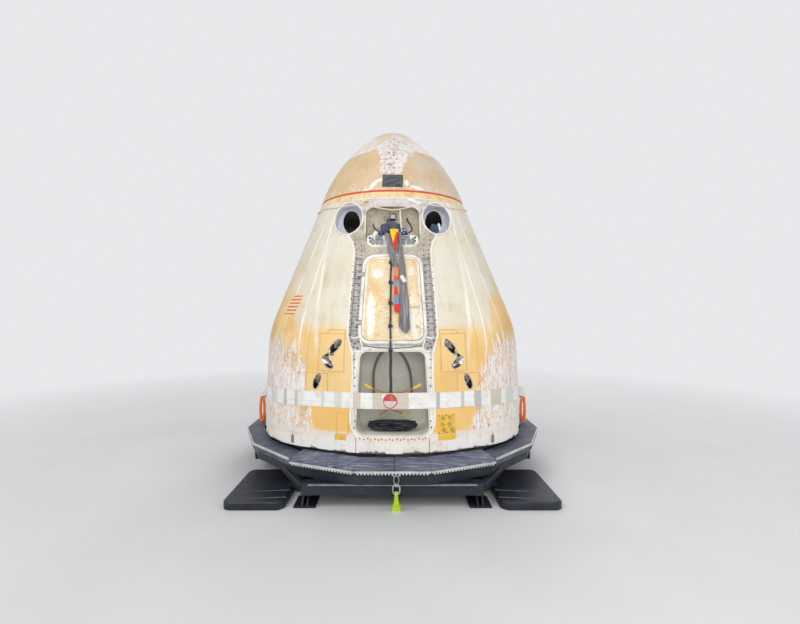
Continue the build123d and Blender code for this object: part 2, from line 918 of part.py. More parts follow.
# Seats: reclined shells in a row, on a frame that stands on the floor
with BuildPart() as seats:
    for x in seat_xs:
        with BuildSketch(Plane.YZ.offset(x - seat_width / 2)):
            with BuildLine() as spine:
                FilletPolyline(*[(y, at(height)) for y, height in seat_line], radius=90)
            trace(spine.line, seat_thickness)
        extrude(amount=seat_width)
seats.part.label = "seats"
export_step(seats.part, "parts/seats.step")

frame_foot = cabin_low + cabin_wall + floor_thickness
with BuildPart() as seat_frame:
    for x in (-1, 1):
        with BuildSketch(Plane.YZ.offset(x * seat_frame_x - seat_frame_tube / 2)):
            with BuildLine():
                Polyline(
                    (-250, at(frame_foot)),
                    (500, at(frame_foot)),
                    (500, at(frame_foot + 60)),
                    (330, at(seat_beam_height)),
                    (-150, at(seat_beam_height)),
                    (-250, at(frame_foot + 60)),
                    close=True,
                )
            make_face()
        extrude(amount=seat_frame_tube)
    for y in (-100, 280):
        with BuildSketch(Plane.YZ.offset(-seat_xs[-1] - 150)):
            with Locations((y, at(seat_beam_height - 30))):
                Rectangle(70, 150)
        extrude(amount=2 * (seat_xs[-1] + 150))
    add(seats.part, mode=Mode.SUBTRACT)
seat_frame.part.label = "seat_frame"
export_step(seat_frame.part, "parts/seat_frame.step")

with BuildPart() as console:
    with BuildSketch(Plane.XZ.offset(console_y)):
        with Locations((0, at(console_height))):
            RectangleRounded(console_width, console_tall, 25)
    extrude(amount=45)
    for x in (-console_width / 3, console_width / 3):
        with BuildSketch(Plane.XY.offset(at(console_height))):
            with Locations((x, -console_y - 60)):
                Rectangle(50, 30)
        extrude(amount=cabin_high - cabin_wall - console_height)
console.part.label = "console"
export_step(console.part, "parts/console.step")

# Forward bulkhead, docking ring and its petals under the nose cone
with BuildPart() as forward_bulkhead:
    with BuildSketch(Plane.XY.offset(at(bulkhead_height))):
        Circle(base_radius)
    extrude(amount=bulkhead_thickness)
    add(cavity, mode=Mode.INTERSECT)
    with BuildSketch(Plane.XY.offset(at(bulkhead_height - 10))):
        Circle(tunnel_radius + cabin_wall)
    extrude(amount=bulkhead_thickness + 20, mode=Mode.SUBTRACT)
forward_bulkhead.part.label = "forward_bulkhead"
export_step(forward_bulkhead.part, "parts/forward_bulkhead.step")

ring_foot = bulkhead_height + bulkhead_thickness
with BuildPart() as docking_ring:
    with BuildSketch(Plane.XY.offset(at(ring_foot))):
        Circle(docking_radius)
        Circle(tunnel_radius + cabin_wall + 5, mode=Mode.SUBTRACT)
    extrude(amount=docking_height)
    chamfer(docking_ring.faces().sort_by(Axis.Z)[-1].edges().sort_by(SortBy.LENGTH)[-1], 25)
docking_ring.part.label = "docking_ring"
export_step(docking_ring.part, "parts/docking_ring.step")

with BuildPart() as docking_petals:
    with BuildSketch(Plane.XY.offset(at(ring_foot + docking_height))):
        Circle(petal_radius)
        Circle(petal_radius - 40, mode=Mode.SUBTRACT)
    extrude(amount=30)
    for index in range(3):
        petal_plane = radial_plane(60 + 120 * index)
        with BuildSketch(petal_plane):
            with BuildLine():
                Polyline(
                    (petal_radius - 40, at(ring_foot + docking_height + 30)),
                    (petal_radius, at(ring_foot + docking_height + 30)),
                    (petal_radius - 60, at(ring_foot + docking_height + 230)),
                    (petal_radius - 100, at(ring_foot + docking_height + 230)),
                    close=True,
                )
            make_face()
        extrude(amount=130, both=True)
docking_petals.part.label = "docking_petals"
export_step(docking_petals.part, "parts/docking_petals.step")

# Hatch under the tunnel, hinged at the front, that swings down into the cabin
tunnel_hatch_foot = cabin_high - cabin_wall - hatch_gap - tunnel_hatch_thickness
tunnel_pin_height = tunnel_hatch_foot + tunnel_hatch_thickness / 2
tunnel_lug_tall = cabin_high - cabin_wall - tunnel_pin_height
with BuildPart() as tunnel_hatch:
    with BuildSketch(Plane.XY.offset(at(tunnel_hatch_foot))):
        Circle(tunnel_hatch_radius)
    extrude(amount=tunnel_hatch_thickness)
    fillet(tunnel_hatch.faces().sort_by(Axis.Z)[0].edges(), 20)
    for x in (-tunnel_hinge_x, tunnel_hinge_x):
        with BuildSketch(Plane.YZ.offset(x - tunnel_arm_width / 2)):
            with Locations((-tunnel_pin_y, at(tunnel_pin_height))):
                Circle(22)
            with Locations((-tunnel_pin_y + 60, at(tunnel_pin_height))):
                Rectangle(120, 34)
        extrude(amount=tunnel_arm_width)
        with BuildSketch(Plane.YZ.offset(x - tunnel_arm_width)):
            with Locations((-tunnel_pin_y, at(tunnel_pin_height))):
                Circle(hinge_pin + pin_clearance)
        extrude(amount=2 * tunnel_arm_width, mode=Mode.SUBTRACT)
tunnel_hatch.part.label = "tunnel_hatch"
export_step(tunnel_hatch.part, "parts/tunnel_hatch.step")

with BuildPart() as tunnel_hinge:
    for x in (-tunnel_hinge_x, tunnel_hinge_x):
        for end in (-1, 1):
            lug_x = x + end * (tunnel_arm_width / 2 + lug_gap + lug_width / 2)
            with BuildSketch(Plane.YZ.offset(lug_x)):
                with Locations((-tunnel_pin_y, at(tunnel_pin_height))):
                    Circle(22)
                with Locations((-tunnel_pin_y, at(tunnel_pin_height + tunnel_lug_tall / 2))):
                    Rectangle(44, tunnel_lug_tall)
            extrude(amount=lug_width / 2, both=True)
        with BuildSketch(Plane.YZ.offset(x)):
            with Locations((-tunnel_pin_y, at(tunnel_pin_height))):
                Circle(hinge_pin)
        extrude(amount=tunnel_arm_width / 2 + lug_gap + lug_width, both=True)
tunnel_hinge.part.label = "tunnel_hinge"
export_step(tunnel_hinge.part, "parts/tunnel_hinge.step")

# Seal ring and nose cone
seal_radius = cone_radius(seam_height, 0.0) - 2.0
with BuildPart() as seal_ring:
    with BuildSketch(radial_plane(0.0)):
        with BuildLine():
            Polyline(
                (seal_radius, at(seam_height)),
                (seal_radius - 8, at(seam_height + seal_height)),
                (seal_radius - 44, at(seam_height + seal_height)),
                (seal_radius - 52, at(seam_height)),
                close=True,
            )
        make_face()
    revolve(axis=Axis.Z)
seal_ring.part.label = "seal_ring"
export_step(seal_ring.part, "parts/seal_ring.step")

nose_foot = seam_height + seal_height + 1.0
nose_foot_radius = seal_radius - 8


def nose_form(inset, foot):
    """Closed form of the nose cone: a long arc and a dome, moved inwards by inset."""
    start = Vector(nose_foot_radius - inset, at(foot))
    edge = Vector(dome_edge_radius - inset * 0.82, at(dome_edge_height) - inset * 0.57)
    with BuildPart() as form:
        with BuildSketch(radial_plane(0.0)):
            with BuildLine():
                flank = RadiusArc(start, edge, -nose_arc_radius + inset)
                lead = flank % 1
                turn = math.degrees(math.atan2(lead.Y, -lead.X))
                cap = JernArc(edge, lead, edge.X / math.sin(math.radians(turn)), turn)
                Line(cap @ 1, (0, at(foot)))
                Line((0, at(foot)), start)
            make_face()
        revolve(axis=Axis.Z)
    return form.part


nose_outer = nose_form(0.0, nose_foot)
with BuildPart() as nose_cone:
    add(nose_outer)
    add(nose_form(nose_wall, nose_foot), mode=Mode.SUBTRACT)
nose_cone.part.label = "nose_cone"
export_step(nose_cone.part, "parts/nose_cone.step")

# Hinge of the nose cone at the back
with BuildPart() as nose_hinge_arms:
    for x in (-nose_hinge_x, nose_hinge_x):
        with BuildSketch(Plane.YZ.offset(x - nose_arm_width / 2)):
            with Locations((nose_pin_y, at(nose_pin_height))):
                Circle(nose_knuckle)
            with BuildLine():
                Polyline(
                    (nose_pin_y + 24, at(nose_pin_height + 12)),
                    (nose_pin_y - 46, at(nose_pin_height + 190)),
                    (nose_pin_y - 130, at(nose_pin_height + 190)),
                    (nose_pin_y - 130, at(nose_foot + 12)),
                    (nose_pin_y - 34, at(nose_foot + 12)),
                    close=True,
                )
            make_face()
        extrude(amount=nose_arm_width)
        with BuildSketch(Plane.YZ.offset(x - nose_arm_width)):
            with Locations((nose_pin_y, at(nose_pin_height))):
                Circle(nose_pin_radius + pin_clearance)
        extrude(amount=2 * nose_arm_width, mode=Mode.SUBTRACT)
    add(nose_outer, mode=Mode.SUBTRACT)
nose_hinge_arms.part.label = "nose_hinge_arms"
export_step(nose_hinge_arms.part, "parts/nose_hinge_arms.step")

with BuildPart() as nose_hinge_base:
    for x in (-nose_hinge_x, nose_hinge_x):
        for end in (-1, 1):
            lug_x = x + end * (nose_arm_width / 2 + lug_gap + lug_width / 2)
            with BuildSketch(Plane.YZ.offset(lug_x)):
                with Locations((nose_pin_y, at(nose_pin_height))):
                    Circle(nose_knuckle)
                with BuildLine():
                    Polyline(
                        (nose_pin_y - 90, at(seam_height - 130)),
                        (nose_pin_y + nose_knuckle, at(seam_height - 60)),
                        (nose_pin_y + nose_knuckle, at(nose_pin_height)),
                        (nose_pin_y - nose_knuckle, at(nose_pin_height)),
                        (nose_pin_y - nose_knuckle, at(seam_height - 12)),
                        (nose_pin_y - 90, at(seam_height - 12)),
                        close=True,
                    )
                make_face()
            extrude(amount=lug_width / 2, both=True)
        with BuildSketch(Plane.YZ.offset(x)):
            with Locations((nose_pin_y, at(nose_pin_height))):
                Circle(nose_pin_radius)
        extrude(amount=nose_arm_width / 2 + lug_gap + lug_width, both=True)
    add(hull, mode=Mode.SUBTRACT)
nose_hinge_base.part.label = "nose_hinge_base"
export_step(nose_hinge_base.part, "parts/nose_hinge_base.step")

# Belt round the hull and the slings at its sides
belt_plane = Plane(
    origin=(0, 0, at(belt_height)), x_dir=(1, 0, 0), z_dir=(0, belt_front_rise / base_radius, 1)
)
with BuildPart() as belt:
    add(hull_form(-belt_clearance - belt_thickness))
    with BuildSketch(belt_plane.offset(-belt_width / 2)):
        Rectangle(2 * cut_reach, 2 * cut_reach)
    extrude(amount=belt_width, mode=Mode.INTERSECT)
    add(hull_form(-belt_clearance), mode=Mode.SUBTRACT)
belt.part.label = "belt"
export_step(belt.part, "parts/belt.step")

with BuildPart() as side_slings:
    for azimuth in sling_azimuths:
        with BuildSketch(radial_plane(azimuth)):
            with Locations((sling_radius, at(sling_low + sling_tall / 2))):
                SlotOverall(sling_tall - seat_clearance, sling_depth, rotation=90)
        extrude(amount=sling_width / 2, both=True)
side_slings.part.label = "side_slings"
export_step(side_slings.part, "parts/side_slings.step")

shackle_middle = (shackle_inner + shackle_outer) / 2
with BuildPart() as side_shackles:
    for azimuth in sling_azimuths:
        with BuildSketch(radial_plane(azimuth)):
            with Locations((shackle_middle, at(sling_low + sling_tall + shackle_tall / 2))):
                RectangleRounded(shackle_outer - shackle_inner, shackle_tall, 30)
        extrude(amount=sling_width, both=True)
    add(hull_form(-belt_clearance - belt_thickness - seat_clearance), mode=Mode.SUBTRACT)
side_shackles.part.label = "side_shackles"
export_step(side_shackles.part, "parts/side_shackles.step")

# Soft pieces that hang down over the side hatch: outlines in the plane of the hatch
for name, level, points in hanging_table:
    with BuildPart() as hanging:
        with BuildSketch(hatch_plane.offset(level)):
            with BuildLine():
                Polyline(*[(x, (height - hatch_middle) / slant) for x, height in points], close=True)
            make_face()
        extrude(amount=hanging_thickness)
    hanging.part.label = name
    export_step(hanging.part, f"parts/{name}.step")

# Knotted rope over the hatch and the thicker braid below it
for name, diameter, route in rope_table:
    points = [Vector(*point) for point in route]
    radii = []
    for before, corner, after in zip(points, points[1:], points[2:]):
        turn = (corner - before).get_angle(after - corner)
        shorter = min((corner - before).length, (after - corner).length)
        radii.append(0.45 * shorter / math.tan(math.radians(turn / 2)))
    print(name, "radii", [round(radius) for radius in radii])
    with BuildLine() as path:
        FilletPolyline(*points, radius=radii)
    line = path.wire()
    print(name, "length", round(line.length, 1))
    start_plane = Plane(origin=line @ 0, z_dir=line % 0)
    with BuildSketch(start_plane) as section:
        Circle(diameter / 2)
    with BuildPart() as rope:
        sweep(section.sketch, path=line)
    print(name, "volume ratio", round(rope.part.volume / (math.pi * diameter**2 / 4 * line.length), 4))
    rope.part.label = name
    export_step(rope.part, f"parts/{name}.step")

# Dark bundle on the floor of the lower bay
with BuildPart() as bay_bundle:
    with BuildSketch(Plane.YZ.offset(-bundle_length / 2)):
        with Locations((-bundle_y, at(bay_low + bundle_tall / 2) + seat_clearance)):
            Ellipse(bundle_deep / 2, bundle_tall / 2)
    extrude(amount=bundle_length)
bay_bundle.part.label = "bay_bundle"
export_step(bay_bundle.part, "parts/bay_bundle.step")

# Cradle: sixteen-sided ring beam, support ring, pads, trim and comb
with BuildPart() as ring_beam:
    with BuildSketch(Plane.XY.offset(ring_low)):
        RegularPolygon(ring_apothem, ring_sides, major_radius=False, rotation=180 / ring_sides)
        RegularPolygon(
            ring_inner,
            ring_sides,
            major_radius=False,
            rotation=180 / ring_sides,
            mode=Mode.SUBTRACT,
        )
    extrude(amount=ring_high - ring_low)
ring_beam.part.label = "ring_beam"
export_step(ring_beam.part, "parts/ring_beam.step")

with BuildPart() as support_ring:
    with BuildSketch(Plane.XY.offset(ring_low)):
        Circle(support_outer)
        Circle(support_inner, mode=Mode.SUBTRACT)
    extrude(amount=edge_z - ring_low)
    with Locations((0, 0, dish_centre)):
        Sphere(dish_radius + seat_clearance, mode=Mode.SUBTRACT)
support_ring.part.label = "support_ring"
export_step(support_ring.part, "parts/support_ring.step")

droop_sides = [-1, 0, 1]
level_sides = [side for side in side_range if side not in (0, 1, ring_sides - 1)]
level_outline = [
    (pad_inner, ring_high),
    (pad_outer, ring_high),
    (pad_outer, ring_high + pad_thickness - pad_fall),
    (pad_inner, ring_high + pad_thickness),
]
with BuildPart() as ring_pads:
    for piece in ring_piece(level_outline, level_sides, panel_gap):
        add(piece)
ring_pads.part.label = "ring_pads"
export_step(ring_pads.part, "parts/ring_pads.step")

droop_top = ring_high + pad_thickness + droop_rise
droop_outline = [
    (pad_inner, ring_high),
    (ring_apothem, ring_high),
    (droop_outer - comb_ledge, droop_edge_low),
    (droop_outer, droop_edge_low),
    (droop_outer, droop_edge_high),
    (pad_inner, droop_top),
]
with BuildPart() as front_pads:
    for piece in ring_piece(droop_outline, droop_sides, panel_gap):
        add(piece)
front_pads.part.label = "front_pads"
export_step(front_pads.part, "parts/front_pads.step")

trim_top = ring_high + pad_thickness - pad_fall
trim_outline = [
    (pad_outer, trim_top - trim_height),
    (pad_outer + trim_thickness, trim_top - trim_height),
    (pad_outer + trim_thickness, trim_top),
    (pad_outer, trim_top),
]
with BuildPart() as edge_trim:
    for piece in ring_piece(trim_outline, level_sides):
        add(piece)
edge_trim.part.label = "edge_trim"
export_step(edge_trim.part, "parts/edge_trim.step")

# Comb under the outer edge of the drooping pads
comb_radius = droop_outer - comb_ledge + 6
comb_length = 2 * comb_radius * math.tan(math.pi / ring_sides)
teeth_per_side = int(comb_length // tooth_pitch) - 1
with BuildPart() as comb_strip:
    for side in droop_sides:
        side_plane = radial_plane(side * 360 / ring_sides)
        face_plane = Plane(
            origin=side_plane.origin + side_plane.x_dir * comb_radius,
            x_dir=-side_plane.z_dir,
            z_dir=side_plane.x_dir,
        )
        with BuildSketch(face_plane):
            with Locations((0, droop_edge_low - comb_band / 2)):
                Rectangle(comb_length - 6, comb_band)
            with Locations((0, droop_edge_low - comb_band - tooth_height / 2)):
                with GridLocations(tooth_pitch, 1, teeth_per_side, 1):
                    Rectangle(tooth_width, tooth_height)
        extrude(amount=comb_thickness)
comb_strip.part.label = "comb_strip"
export_step(comb_strip.part, "parts/comb_strip.step")

# Base frame: end beams on skids, a middle beam on the floor and arms to the ring
with BuildPart() as base_frame:
    for y in (-beam_y, beam_y):
        with BuildSketch(Plane.XY.offset(beam_low)):
            with Locations((0, y)):
                Rectangle(2 * beam_half_length + 2 * skid_width, beam_width)
        extrude(amount=ring_low - beam_low)
    for x in (-skid_x, skid_x):
        with BuildSketch(Plane.XY.offset(skid_low)):
            with Locations((x, 0)):
                Rectangle(skid_width, 2 * beam_y - beam_width)
        extrude(amount=skid_high - skid_low)
    with BuildSketch(Plane.XY):
        Rectangle(2 * skid_x + skid_width, middle_beam_width)
    extrude(amount=skid_low)
    for azimuth in arm_azimuths:
        turn = math.radians(azimuth)
        start = (skid_x + skid_width / 2 - 20) / abs(math.sin(turn))
        with BuildSketch(Plane.XY.offset(arm_low)) as arm:
            with BuildLine():
                Line(
                    (start * math.sin(turn), -start * math.cos(turn)),
                    (ring_apothem * math.sin(turn), -ring_apothem * math.cos(turn)),
                )
            trace(line_width=arm_beam_width)
        extrude(amount=ring_low - arm_low)
base_frame.part.label = "base_frame"
export_step(base_frame.part, "parts/base_frame.step")

# Legs: foot plates with bolt holes, webs up to the beams
with BuildPart() as legs:
    for x in (-skid_x, skid_x):
        for y in (-leg_y, leg_y):
            with BuildSketch(Plane.XY):
                with Locations((x, y)):
                    Rectangle(foot_width, foot_length)
                    with GridLocations(foot_pitch_x, foot_pitch_y, 2, 2):
                        Circle(foot_hole, mode=Mode.SUBTRACT)
            extrude(amount=foot_plate)
            for offset_x in (-30, 30):
                with BuildSketch(Plane.YZ.offset(x + offset_x - 8)):
                    with BuildLine():
                        Polyline(
                            (y - foot_length / 2 + 20, foot_plate),
                            (y + foot_length / 2 - 20, foot_plate),
                            (y + 70, skid_low),
                            (y - 70, skid_low),
                            close=True,
                        )
                    make_face()
                extrude(amount=16)
legs.part.label = "legs"
export_step(legs.part, "parts/legs.step")

# Outrigger pads on the floor, linked to the skids
with BuildPart() as outriggers:
    for x in (-outrigger_x, outrigger_x):
        for y in (-outrigger_y, outrigger_y):
            with BuildSketch(Plane.XY) as pad:
                with Locations((x, y)):
                    RectangleRounded(outrigger_width, outrigger_length, 110)
            extrude(amount=outrigger_thickness)
    top_edges = outriggers.faces().filter_by(Axis.Z).sort_by(Axis.Z)[-4:].edges()
    chamfer(top_edges, 18)
    link_length = outrigger_x - outrigger_width / 2 - skid_x - skid_width / 2 + 60
    for x in (-1, 1):
        for y in (-outrigger_y, outrigger_y):
            with BuildSketch(Plane.XY.offset(link_low)):
                with Locations((x * (skid_x + skid_width / 2 + link_length / 2), y)):
                    Rectangle(link_length, 90)
            extrude(amount=link_high - link_low)
outriggers.part.label = "outriggers"
export_step(outriggers.part, "parts/outriggers.step")

# Bow shackle at the middle of the front beam and the snatch block that hangs from it
with BuildPart() as front_shackle:
    with BuildSketch(Plane.XY.offset(shackle_z - 60)):
        with Locations((block_x, -ring_apothem - 40)):
            Rectangle(40, 80)
    extrude(amount=24)
    with BuildSketch(Plane.XZ.offset(ring_apothem + 62)):
        with Locations((block_x, shackle_z - 88)):
            SlotOverall(130, 96, rotation=90)
            SlotOverall(96, 62, rotation=90, mode=Mode.SUBTRACT)
    extrude(amount=18)
front_shackle.part.label = "front_shackle"
export_step(front_shackle.part, "parts/front_shackle.step")

block_plane = Plane(
    origin=(block_x, -ring_apothem - 71, shackle_z - 150),
    x_dir=(1, 0, 0),
    z_dir=(0, -math.cos(math.radians(block_lean)), -math.sin(math.radians(block_lean))),
)
with BuildPart() as snatch_block:
    with BuildSketch(block_plane):
        with BuildLine():
            Polyline((-18, 20), (18, 20), (26, -120), (44, -190), (-44, -190), (-26, -120), close=True)
        make_face()
        with Locations((0, -205)):
            Circle(52)
    extrude(amount=26, both=True)
    add(front_shackle.part, mode=Mode.SUBTRACT)
snatch_block.part.label = "snatch_block"
export_step(snatch_block.part, "parts/snatch_block.step")
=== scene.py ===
"""Space capsule after its flight, standing in its recovery cradle."""

import bpy
import math
from mathutils import Matrix, Vector, noise


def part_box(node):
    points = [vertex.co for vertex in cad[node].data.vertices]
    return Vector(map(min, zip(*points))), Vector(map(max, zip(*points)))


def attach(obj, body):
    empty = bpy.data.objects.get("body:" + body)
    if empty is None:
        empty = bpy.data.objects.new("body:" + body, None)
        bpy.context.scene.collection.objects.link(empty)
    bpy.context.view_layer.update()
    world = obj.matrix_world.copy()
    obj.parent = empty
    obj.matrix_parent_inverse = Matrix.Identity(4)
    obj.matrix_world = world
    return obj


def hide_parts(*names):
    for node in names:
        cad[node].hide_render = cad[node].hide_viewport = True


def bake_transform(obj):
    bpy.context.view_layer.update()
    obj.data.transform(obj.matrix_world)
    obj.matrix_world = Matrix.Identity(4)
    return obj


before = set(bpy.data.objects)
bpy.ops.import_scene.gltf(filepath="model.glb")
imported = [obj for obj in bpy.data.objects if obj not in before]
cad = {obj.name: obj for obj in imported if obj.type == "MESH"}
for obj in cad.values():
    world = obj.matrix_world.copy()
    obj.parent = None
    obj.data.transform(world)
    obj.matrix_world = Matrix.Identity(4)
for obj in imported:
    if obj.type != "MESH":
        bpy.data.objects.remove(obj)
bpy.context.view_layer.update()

# Heights on the capsule are taken from the edge of its base ring, as in the CAD source
EDGE = 0.61
HATCH_MIDDLE = 1.89
HATCH_LEAN = math.radians(22)


# Materials
def srgb(red, green, blue):
    """A colour read off as 0 to 255, as Blender's linear colour."""
    linear = []
    for value in (red, green, blue):
        value /= 255
        linear.append(value / 12.92 if value <= 0.04045 else ((value + 0.055) / 1.055) ** 2.4)
    return (*linear, 1.0)


class Field:
    """A value worked out in a finish's node tree; what is added up or multiplied becomes Math nodes."""

    def __init__(self, finish, socket):
        self.finish = finish
        self.socket = socket

    def __add__(self, other):
        return self.finish.sum("ADD", self, other)

    def __radd__(self, other):
        return self.finish.sum("ADD", other, self)

    def __sub__(self, other):
        return self.finish.sum("SUBTRACT", self, other)

    def __rsub__(self, other):
        return self.finish.sum("SUBTRACT", other, self)

    def __mul__(self, other):
        return self.finish.sum("MULTIPLY", self, other)

    def __rmul__(self, other):
        return self.finish.sum("MULTIPLY", other, self)

    def __truediv__(self, other):
        return self.finish.sum("DIVIDE", self, other)

    def __abs__(self):
        return self.finish.sum("ABSOLUTE", self)


class Finish:
    """A material for one finish of the capsule, with its node tree at hand. Colours are given as 0 to 255."""

    def __init__(self, name, roughness=0.5, metallic=0.0, sheen=0.0):
        self.material = bpy.data.materials.new(name)
        self.material.use_nodes = True
        self.tree = self.material.node_tree
        self.shader = self.tree.nodes["Principled BSDF"]
        for socket, value in (("Roughness", roughness), ("Metallic", metallic), ("Sheen Weight", sheen)):
            self.shader.inputs[socket].default_value = value
        self.place = self.node("TexCoord", (), "Object")
        split = self.node("SeparateXYZ", (self.place,)).socket.node
        self.x, self.y, self.z = (Field(self, output) for output in split.outputs)

    def put(self, value, socket):
        """Sets a socket to a number or a colour, or links it."""
        if isinstance(value, Field):
            self.tree.links.new(value.socket, socket)
        elif isinstance(value, tuple):
            socket.default_value = srgb(*value)
        else:
            socket.default_value = value

    def node(self, kind, inputs, output=0, **settings):
        """A node with its settings, its inputs put in order or by name; gives one of its outputs."""
        node = self.tree.nodes.new(f"ShaderNode{kind}")
        for name, value in settings.items():
            setattr(node, name, value)
        for place, value in inputs.items() if isinstance(inputs, dict) else enumerate(inputs):
            self.put(value, node.inputs[place])
        return Field(self, node.outputs[output])

    def sum(self, operation, *values):
        return self.node("Math", values, operation=operation)

    def ramp(self, value, low, high, start=0.0, end=1.0):
        """0 below low, 1 above high, and a straight rise between."""
        return self.node("MapRange", (value, low, high, start, end))

    def point(self, x, y, z=0.0):
        return self.node("CombineXYZ", (x, y, z))

    def noise(self, scale, detail=4.0, roughness=0.55, at=None, distortion=0.0):
        return self.node("TexNoise", {"Vector": at or self.place, "Scale": scale, "Detail": detail,
                                      "Roughness": roughness, "Distortion": distortion}, "Fac")

    def over(self, amount, under, colour):
        """One colour laid over another by an amount from 0 to 1."""
        return self.node("Mix", {0: amount, 6: under, 7: colour}, 2, data_type="RGBA")

    def layers(self, colour, *rows):
        """Colours laid over one another: (amount, colour), or (field, low, high, most, colour) for a rise."""
        for *amount, shade in rows:
            if len(amount) > 1:
                field, low, high, most = amount
                amount = [self.ramp(field, low, high, 0.0, most)]
            colour = self.over(amount[0], colour, shade)
        return colour

    def bands(self, value, low, high, starts):
        """Colours that change at once: each holds from its start to the next one's, between low and high."""
        ramp = self.tree.nodes.new("ShaderNodeValToRGB")
        elements = ramp.color_ramp.elements
        ramp.color_ramp.interpolation = "CONSTANT"
        for index, (start, colour) in enumerate(starts):
            place = (start - low) / (high - low)
            stop = elements[0] if index == 0 else elements.new(place)
            stop.position = place
            stop.color = srgb(*colour)
        elements.remove(elements[-1])
        self.put(self.ramp(value, low, high), ramp.inputs["Fac"])
        return Field(self, ramp.outputs[0])

    def paint(self, colour):
        self.put(colour, self.shader.inputs["Base Color"])

    def gloss(self, value):
        self.put(value, self.shader.inputs["Roughness"])

    def relief(self, height, strength=0.3, distance=0.004):
        bump = self.node("Bump", {"Strength": strength, "Distance": distance, "Height": height})
        self.put(bump, self.shader.inputs["Normal"])

    def round_hull(self):
        """Degrees round the hull from the front, signed, and the height over the ring's edge."""
        return self.sum("ARCTAN2", self.x, self.y * -1.0) * (180 / math.pi), self.z - EDGE


IVORY = (231, 223, 204)
AMBER = (240, 210, 152)
BROWN_AMBER = (235, 190, 114)
PEELED = (244, 240, 237)
RUST = (188, 110, 56)
SOOT = (150, 118, 96)


